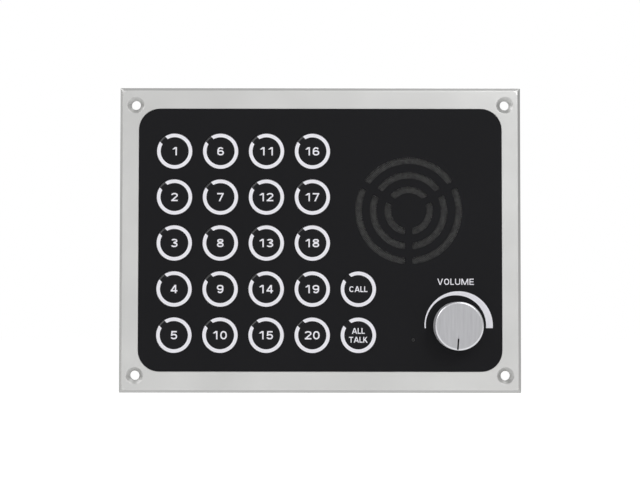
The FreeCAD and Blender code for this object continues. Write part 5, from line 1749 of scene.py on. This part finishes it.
class STATION_OT_rear_housing(bpy.types.Operator):
    """Folded zinc-coated housing with its rear lip and front lugs"""

    bl_idname = "station.rear_housing"
    bl_label = "Rear housing"

    def execute(self, context):
        housing = context.scene.station_housing
        low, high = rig.box("rear_housing")
        reach = housing.sheet + housing.lip
        bend_steps = 5
        tab_steps = 16

        def wrap(cut):
            corner = max(housing.corner - housing.sheet, housing.corner - cut)
            return rounded_box(low.x + cut, high.x - cut, low.z + cut, high.z - cut, corner)

        folded = softened([(low.y, 0), (high.y, 0), (high.y, reach)], housing.bend, bend_steps)
        inner = [(high.y - housing.sheet, reach), (high.y - housing.sheet, housing.sheet),
                 (low.y, housing.sheet)]
        solid = Solid()
        rings = [solid.ring(wrap(cut), y) for y, cut in folded + inner]
        solid.wall(*rings, rings[0])
        piece = solid.piece("housing_folded")
        half = housing.lug_width / 2
        for x in (low.x + housing.lug_left, high.x - housing.lug_right):
            for wall, way in ((low.z, 1), (high.z, -1)):
                z = wall + way * housing.lug_inset
                root = wall + way * housing.sheet / 2
                tab = arc(x, z, half, 0, way * math.pi, tab_steps)
                tab += [(x - half, root), (x + half, root)]
                hole = circle(x, z, housing.lug_hole / 2, SMALL_STEPS)
                lug = Solid()
                lug.slab([tab, hole], low.y, low.y + housing.sheet)
                combine(piece, lug.piece("lug"), "UNION")
        dress(piece, PANEL, "zinc_sheet")
        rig.replaces(piece, "rear_housing")
        return {"FINISHED"}


def plug_rows(housing):
    """The middle height of each row of terminal plugs, and the ends of the rows across."""
    low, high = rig.box("terminal_plugs")
    top = high.z - housing.plug_height / 2
    foot = low.z + housing.plug_height / 2
    step = (top - foot) / (TERMINAL_ROWS - 1)
    return [top - count * step for count in range(TERMINAL_ROWS)], low, high


def cover_screw_places(housing):
    """Where the four cover screws stand."""
    low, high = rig.box("rear_cover_screws")
    inset = housing.screw_head / 2
    return [(x, z) for x in (low.x + inset, high.x - inset) for z in (low.z + inset, high.z - inset)]


class STATION_OT_rear_cover(bpy.types.Operator):
    """Rear cover with a window for each plug and its countersunk holes"""

    bl_idname = "station.rear_cover"
    bl_label = "Rear cover"

    def execute(self, context):
        housing = context.scene.station_housing
        low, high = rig.box("rear_cover")
        outer_round = 0.3 * MM
        window_corner = 0.5 * MM
        window_round = 0.12 * MM
        screw_gap = 0.2 * MM

        solid = Solid()
        path = softened([(low.y, 0), (high.y, 0), (high.y, LAP)], outer_round)
        edges = [solid.edge(sheet_rim(low, high, housing.corner), path)]
        rows, plug_low, plug_high = plug_rows(housing)
        gap = housing.window_gap
        half = housing.plug_height / 2 + gap
        path = softened([(low.y, 0), (high.y, 0), (high.y, HOLE_LAP)], window_round)
        for z in rows:
            window = box_hole(plug_low.x - gap, plug_high.x + gap, z - half, z + half, window_corner)
            edges.append(solid.edge(window, path))
        path = [(low.y, housing.thread / 2 + screw_gap), (high.y, housing.screw_head / 2 + screw_gap)]
        for x, z in cover_screw_places(housing):
            edges.append(solid.edge(round_hole(x, z, 0, SCREW_STEPS), path))
        solid.cap(*[edge[0] for edge in edges])
        solid.cap(*[edge[1] for edge in edges])
        piece = dress(solid.piece("cover_zinc"), PANEL, "zinc_sheet")
        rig.replaces(piece, "rear_cover")
        return {"FINISHED"}


class STATION_OT_cover_screws(bpy.types.Operator):
    """Countersunk socket screws of the cover"""

    bl_idname = "station.cover_screws"
    bl_label = "Cover screws"

    def execute(self, context):
        housing = context.scene.station_housing
        low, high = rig.box("rear_cover_screws")
        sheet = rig.box("rear_cover")[0].y
        floor = (sheet + high.y) / 2
        sides = 6
        socket_radius = housing.screw_socket / 2 / math.cos(math.pi / sides)
        head = housing.screw_head / 2
        land = 0.12 * MM
        head_edge = 0.1 * MM
        profile = [(0, low.y), (housing.thread / 2, low.y), (housing.thread / 2, sheet),
                   (head, high.y - land), (head - head_edge, high.y)]
        solid = Solid()
        for x, z in cover_screw_places(housing):
            rings = solid.turn(x, z, softened(profile, head_edge), SCREW_STEPS)
            socket = [solid.ring(circle(x, z, socket_radius, sides), y) for y in (high.y, floor)]
            solid.wall(*socket)
            solid.cap(rings[-1], socket[0])
            solid.cap(socket[1])
        piece = dress(solid.piece("cover_screws_sunk"), PANEL, "zinc_steel")
        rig.replaces(piece, "rear_cover_screws")
        return {"FINISHED"}


class STATION_OT_earth_stud(bpy.types.Operator):
    """Earth stud with its thread"""

    bl_idname = "station.earth_stud"
    bl_label = "Earth stud"

    def execute(self, context):
        housing = context.scene.station_housing
        low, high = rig.box("earth_stud")
        at = (low + high) / 2
        cover_front, cover_rear = (corner.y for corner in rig.box("rear_cover"))
        head = (high.x - low.x) / 2
        length = high.y - cover_rear
        shank = 2.0 * MM
        collar = 2.6 * MM
        depth = 0.61 * housing.thread_pitch
        crest = 1.25
        tip_length = 0.8 * MM
        tip_taper = 0.5 * MM
        steps = 36
        levels_in_pitch = 8
        solid = Solid()
        rings = []
        levels = levels_in_pitch * round(length / housing.thread_pitch)
        for level in range(levels + 1):
            along = length * level / levels
            points = []
            ease = min(1.0, (length - along) / tip_length)
            for count in range(steps):
                turn = 2 * math.pi * count / steps
                phase = (along / housing.thread_pitch - count / steps) % 1.0
                tooth = abs(2 * phase - 1)
                radius = shank - depth * (1 - min(1.0, crest * tooth)) - tip_taper * (1 - ease)
                points.append((at.x + radius * math.cos(turn), at.z + radius * math.sin(turn)))
            rings.append(solid.ring(points, cover_rear + along))
        solid.wall(*rings)
        solid.cap(rings[-1])
        shoulder = solid.ring(circle(at.x, at.z, collar, steps), cover_rear)
        shoulder_front = solid.ring(circle(at.x, at.z, collar, steps), cover_front)
        head_rear = solid.ring(circle(at.x, at.z, head, steps), cover_front)
        head_front = solid.ring(circle(at.x, at.z, head, steps), low.y)
        solid.wall(rings[0], shoulder, shoulder_front, head_rear, head_front)
        solid.cap(head_front)
        piece = dress(solid.piece("stud_threaded"), PANEL, "zinc_steel")
        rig.replaces(piece, "earth_stud")
        return {"FINISHED"}


class STATION_OT_terminal_plugs(bpy.types.Operator):
    """Screw-terminal plugs: ribbed body, wire entries, and a slotted screw in each way"""

    bl_idname = "station.terminal_plugs"
    bl_label = "Terminal plugs"

    def execute(self, context):
        housing = context.scene.station_housing
        rows, low, high = plug_rows(housing)
        pitch = housing.terminal_pitch
        half = housing.plug_height / 2
        step = high.y - housing.plug_depth
        end = (high.x - low.x - TERMINAL_WAYS * pitch) / 2
        ways = [low.x + end + (way + 0.5) * pitch for way in range(TERMINAL_WAYS)]
        tongue_half = housing.tongue_height / 2
        tongue_corner = 0.3 * MM
        tongue_steps = 2
        well = 1.9 * MM
        well_top = 1.0 * MM
        well_floor = -2.4 * MM
        screw = 1.65 * MM
        screw_top = -1.3 * MM
        screw_inset = 5.2 * MM
        first_angle = 25
        angle_step = 37
        plugs = Solid()
        drills = Solid()
        screws = Solid()
        for z in rows:
            outline = notched_bar(low.x, high.x, z, half, [way + pitch / 2 for way in ways[:-1]])
            ring = [plugs.ring(outline, y) for y in (step, high.y)]
            plugs.wall(*ring)
            mouths = [wire_entry(plugs, x, z, high.y, housing.wire_entry / 2) for x in ways]
            plugs.cap(ring[1], *mouths)
            tongue = rounded_box(low.x + housing.tongue_inset, high.x - housing.tongue_inset,
                                 z - tongue_half, z + tongue_half, tongue_corner, tongue_steps)
            root = plugs.ring(tongue, step)
            tip = plugs.ring(tongue, low.y)
            plugs.wall(root, tip)
            plugs.cap(tip)
            plugs.cap(ring[0], root)
            for count, x in enumerate(ways):
                centre = (x, step + screw_inset, z + half)
                drills.mesh.faces.new(upright_cup(drills, centre, well, well_top, well_floor))
                rim = upright_cup(screws, centre, screw, screw_top, well_floor)
                slotted_top(screws, rim, first_angle + angle_step * count)
        body = plugs.piece("plugs_ribbed")
        combine(body, drills.piece("wells"), "DIFFERENCE")
        dress(body, PANEL, "terminal_green")
        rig.replaces(body, "terminal_plugs")
        dress(screws.piece("plug_clamp_screws"), PANEL, "zinc_steel")
        return {"FINISHED"}


def notched_bar(x0, x1, z, half, seams):
    """The outline of a row of plugs, with a small notch above and below at each seam."""
    notch = 0.25 * MM
    outline = []
    for side in (-1, 1):
        edge = [(x0, z + side * half)]
        for x in seams:
            edge += [(x - notch, z + side * half), (x, z + side * (half - notch)),
                     (x + notch, z + side * half)]
        edge.append((x1, z + side * half))
        outline += edge if side < 0 else edge[::-1]
    return outline


def wire_entry(solid, x, z, rear, radius):
    """A square mouth that narrows to a round hole for a wire. Gives the mouth's ring at the rear."""
    across = 1.9 * MM
    below = 2.6 * MM
    above = 2.0 * MM
    corner = 0.5 * MM
    steps = 11
    funnel_start = 0.5 * MM
    funnel_end = 1.0 * MM
    depth = 8 * MM
    mouth = rounded_box(x - across, x + across, z - below, z + above, corner, steps)
    throat = circle(x, z, radius, len(mouth))
    # The mouth starts at its lower right corner, an eighth of a turn before the circle does
    eighth = len(mouth) // 8
    throat = throat[-eighth:] + throat[:-eighth]
    rings = [solid.ring(mouth, rear), solid.ring(mouth, rear - funnel_start),
             solid.ring(throat, rear - funnel_end), solid.ring(throat, rear - depth)]
    solid.wall(*rings)
    solid.cap(rings[-1])
    return rings[0]


def upright_cup(solid, centre, radius, top, foot):
    """A round wall about an upright axis, closed at its foot. Gives the rim at its top."""
    steps = 24
    rim = []
    for count in range(steps):
        turn = 2 * math.pi * count / steps
        rim.append(solid.mesh.verts.new((centre[0] + radius * math.cos(turn),
                                         centre[1] + radius * math.sin(turn), centre[2] + top)))
    floor = [solid.mesh.verts.new(corner.co + Vector((0, 0, foot - top))) for corner in rim]
    solid.wall(rim, floor)
    solid.mesh.faces.new(floor)
    return rim


def slotted_top(solid, rim, angle):
    """Closes a round screw head with a slot across it."""
    centre = sum((corner.co for corner in rim), Vector()) / len(rim)
    radius = (rim[0].co - centre).length
    reach = 0.82 * radius
    half = 0.17 * radius
    depth = 0.45 * MM
    turn = math.radians(angle)
    along = Vector((math.cos(turn), math.sin(turn), 0))
    across = Vector((-math.sin(turn), math.cos(turn), 0))
    corners = []
    for a, b in ((reach, -half), (reach, half), (-reach, half), (-reach, -half)):
        corners.append(centre + along * a + across * b)
    upper = [solid.mesh.verts.new(corner) for corner in corners]
    lower = [solid.mesh.verts.new(corner - Vector((0, 0, depth))) for corner in corners]
    solid.wall(upper, lower)
    solid.mesh.faces.new(lower)
    solid.cap(rim, upper)


class STATION_OT_microphone_felt(bpy.types.Operator):
    """Felt disc right behind the foil's microphone hole"""

    bl_idname = "station.microphone_felt"
    bl_label = "Microphone felt"

    def execute(self, context):
        at = middle("mic_capsule")
        gap = 0.02 * MM
        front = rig.box("front_foil")[1].y + gap
        radius = 0.78 * MM
        felt = 0.3 * MM
        solid = Solid()
        solid.turn(at.x, at.z, [(0, front), (radius, front), (radius, front + felt), (0, front + felt)],
                   SMALL_STEPS)
        dress(solid.piece("microphone_felt"), PANEL, "foam_rubber", ["black_felt"])
        return {"FINISHED"}


class STATION_OT_inner_parts(bpy.types.Operator):
    """Finishes for the parts behind the plate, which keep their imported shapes"""

    bl_idname = "station.inner_parts"
    bl_label = "Inner parts"

    def execute(self, context):
        slots = {part["node"]: part["material_slot"] for part in frame["record"]["subparts"]}
        for name, item in frame["nodes"].items():
            if item.hide_render:
                continue
            material = finish(slots[name])
            item.data.materials.clear()
            item.data.materials.append(material)
        return {"FINISHED"}


class STATION_OT_stage(bpy.types.Operator):
    """White floor, even room light, soft lamps and the camera"""

    bl_idname = "station.stage"
    bl_label = "Stage"

    def execute(self, context):
        scene = context.scene
        stage = scene.station_stage
        scene.view_settings.view_transform = "Standard"

        world = bpy.data.worlds.new("studio")
        scene.world = world
        recipe = Recipe(world)
        plain = recipe.node("ShaderNodeLightPath", output="Is Camera Ray")
        gloss = (1.0 - plain) * graded_room(recipe)
        strength = stage.room_light + seen_directly(recipe) * (plain + gloss - stage.room_light)
        background = recipe.node("ShaderNodeBackground", {}, {"Color": WHITE, "Strength": strength})
        recipe.node("ShaderNodeOutputWorld", {}, {"Surface": background})

        floor_size = 12
        bpy.ops.mesh.primitive_plane_add(size=floor_size, location=(0, 0, -stage.floor_drop))
        floor = context.object
        floor.name = "studio_floor"
        material = bpy.data.materials.new("station_floor")
        recipe = Recipe(material)
        seen = seen_directly(recipe)
        recipe.surface({
            "Base Color": (0.80, 0.80, 0.80, 1),
            "Roughness": 0.9,
            "Specular IOR Level": 0.0,
            "Emission Color": recipe.blend(seen, (0, 0, 0, 1), (0.58, 0.58, 0.58, 1)),
            "Emission Strength": 1.0,
        })
        floor.data.materials.append(material)
        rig.stage(floor)

        # Name, place, diameter and power in watts
        lamps = (
            ("lamp_left", (-0.94, -0.42, 0.76), 0.90, 4.8),
            ("lamp_right", (0.50, -0.58, 1.05), 0.80, 2.8),
            ("lamp_front", (0.52, -1.20, 0.60), 0.45, 2.8),
            ("lamp_rear", (0.30, 1.10, 0.90), 0.70, 4.0),
        )
        for name, place, size, power in lamps:
            light = bpy.data.lights.new(name, "AREA")
            light.shape = "DISK"
            light.size = size
            light.energy = power
            lamp = bpy.data.objects.new(name, light)
            lamp.location = place
            lamp.rotation_euler = (-Vector(place)).to_track_quat("-Z", "Y").to_euler()
            scene.collection.objects.link(lamp)

        lens = bpy.data.cameras.new("photo_camera")
        lens.sensor_width = 36.0
        lens.lens = stage.camera_lens
        camera = bpy.data.objects.new("photo_camera", lens)
        place = Vector(stage.camera_place)
        camera.location = place
        turn = (Vector(stage.camera_aim) - place).to_track_quat("-Z", "Y")
        camera.rotation_euler = (turn @ Quaternion((0, 0, 1), stage.camera_roll)).to_euler()
        scene.collection.objects.link(camera)
        scene.camera = camera
        return {"FINISHED"}


def graded_room(recipe):
    """The brightness that a glossy surface finds in each direction: white ahead and behind, and
    less at the sides."""
    way = recipe.node("ShaderNodeTexCoord", output="Generated")
    x, y, z = (recipe.node("ShaderNodeSeparateXYZ", {}, {"Vector": way}, output=axis)
               for axis in ("X", "Y", "Z"))
    side_level = 0.78
    more_left = 0.11
    more_above = 0.20
    fade_start = 0.05
    fade_end = 0.70
    side = side_level - more_left * x + more_above * z
    ahead = recipe.band(y * y, fade_start, fade_end)
    return side + ahead * (1.0 - side)


def seen_directly(recipe):
    """1 for rays from the camera or off glossy or through clear surfaces, and 0 for others."""
    total = 0.0
    for kind in ("Is Camera Ray", "Is Glossy Ray", "Is Transmission Ray"):
        total = recipe.node("ShaderNodeLightPath", output=kind) + total
    return total > 0.5


class STATION_PT_looks(bpy.types.Panel):
    """Lists the pieces of the station"""

    bl_idname = "STATION_PT_looks"
    bl_label = "Intercom station"
    bl_space_type = "VIEW_3D"
    bl_region_type = "UI"
    bl_category = "Station"

    def draw(self, context):
        for item in OPERATORS:
            self.layout.operator(item.bl_idname)


SETTINGS = {
    "station_plate": StationPlateSettings,
    "station_keys": StationKeySettings,
    "station_volume": StationVolumeSettings,
    "station_housing": StationHousingSettings,
    "station_stage": StationStageSettings,
}
OPERATORS = (
    STATION_OT_front_plate,
    STATION_OT_front_foil,
    STATION_OT_sound_mesh,
    STATION_OT_keys,
    STATION_OT_key_prints,
    STATION_OT_volume_scale,
    STATION_OT_volume_knob,
    STATION_OT_panel_gasket,
    STATION_OT_rear_housing,
    STATION_OT_rear_cover,
    STATION_OT_cover_screws,
    STATION_OT_earth_stud,
    STATION_OT_terminal_plugs,
    STATION_OT_microphone_felt,
    STATION_OT_inner_parts,
    STATION_OT_stage,
)


def register():
    """Registers the settings, the operators and the panel."""
    for item in (*SETTINGS.values(), *OPERATORS, STATION_PT_looks):
        bpy.utils.register_class(item)
    for name, group in SETTINGS.items():
        setattr(bpy.types.Scene, name, PointerProperty(type=group))


def unregister():
    """Takes them away again."""
    for name in SETTINGS:
        delattr(bpy.types.Scene, name)
    for item in (STATION_PT_looks, *reversed(OPERATORS), *SETTINGS.values()):
        bpy.utils.unregister_class(item)


def main():
    """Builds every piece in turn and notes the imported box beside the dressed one."""
    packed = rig.bounds()
    register()
    for item in OPERATORS:
        group, name = item.bl_idname.split(".")
        getattr(getattr(bpy.ops, group), name)()
    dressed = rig.bounds()
    with open("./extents.json", "w") as target:
        json.dump({"cad": [list(corner) for corner in packed],
                   "visual": [list(corner) for corner in dressed]}, target)


if __name__ == "__main__":
    main()
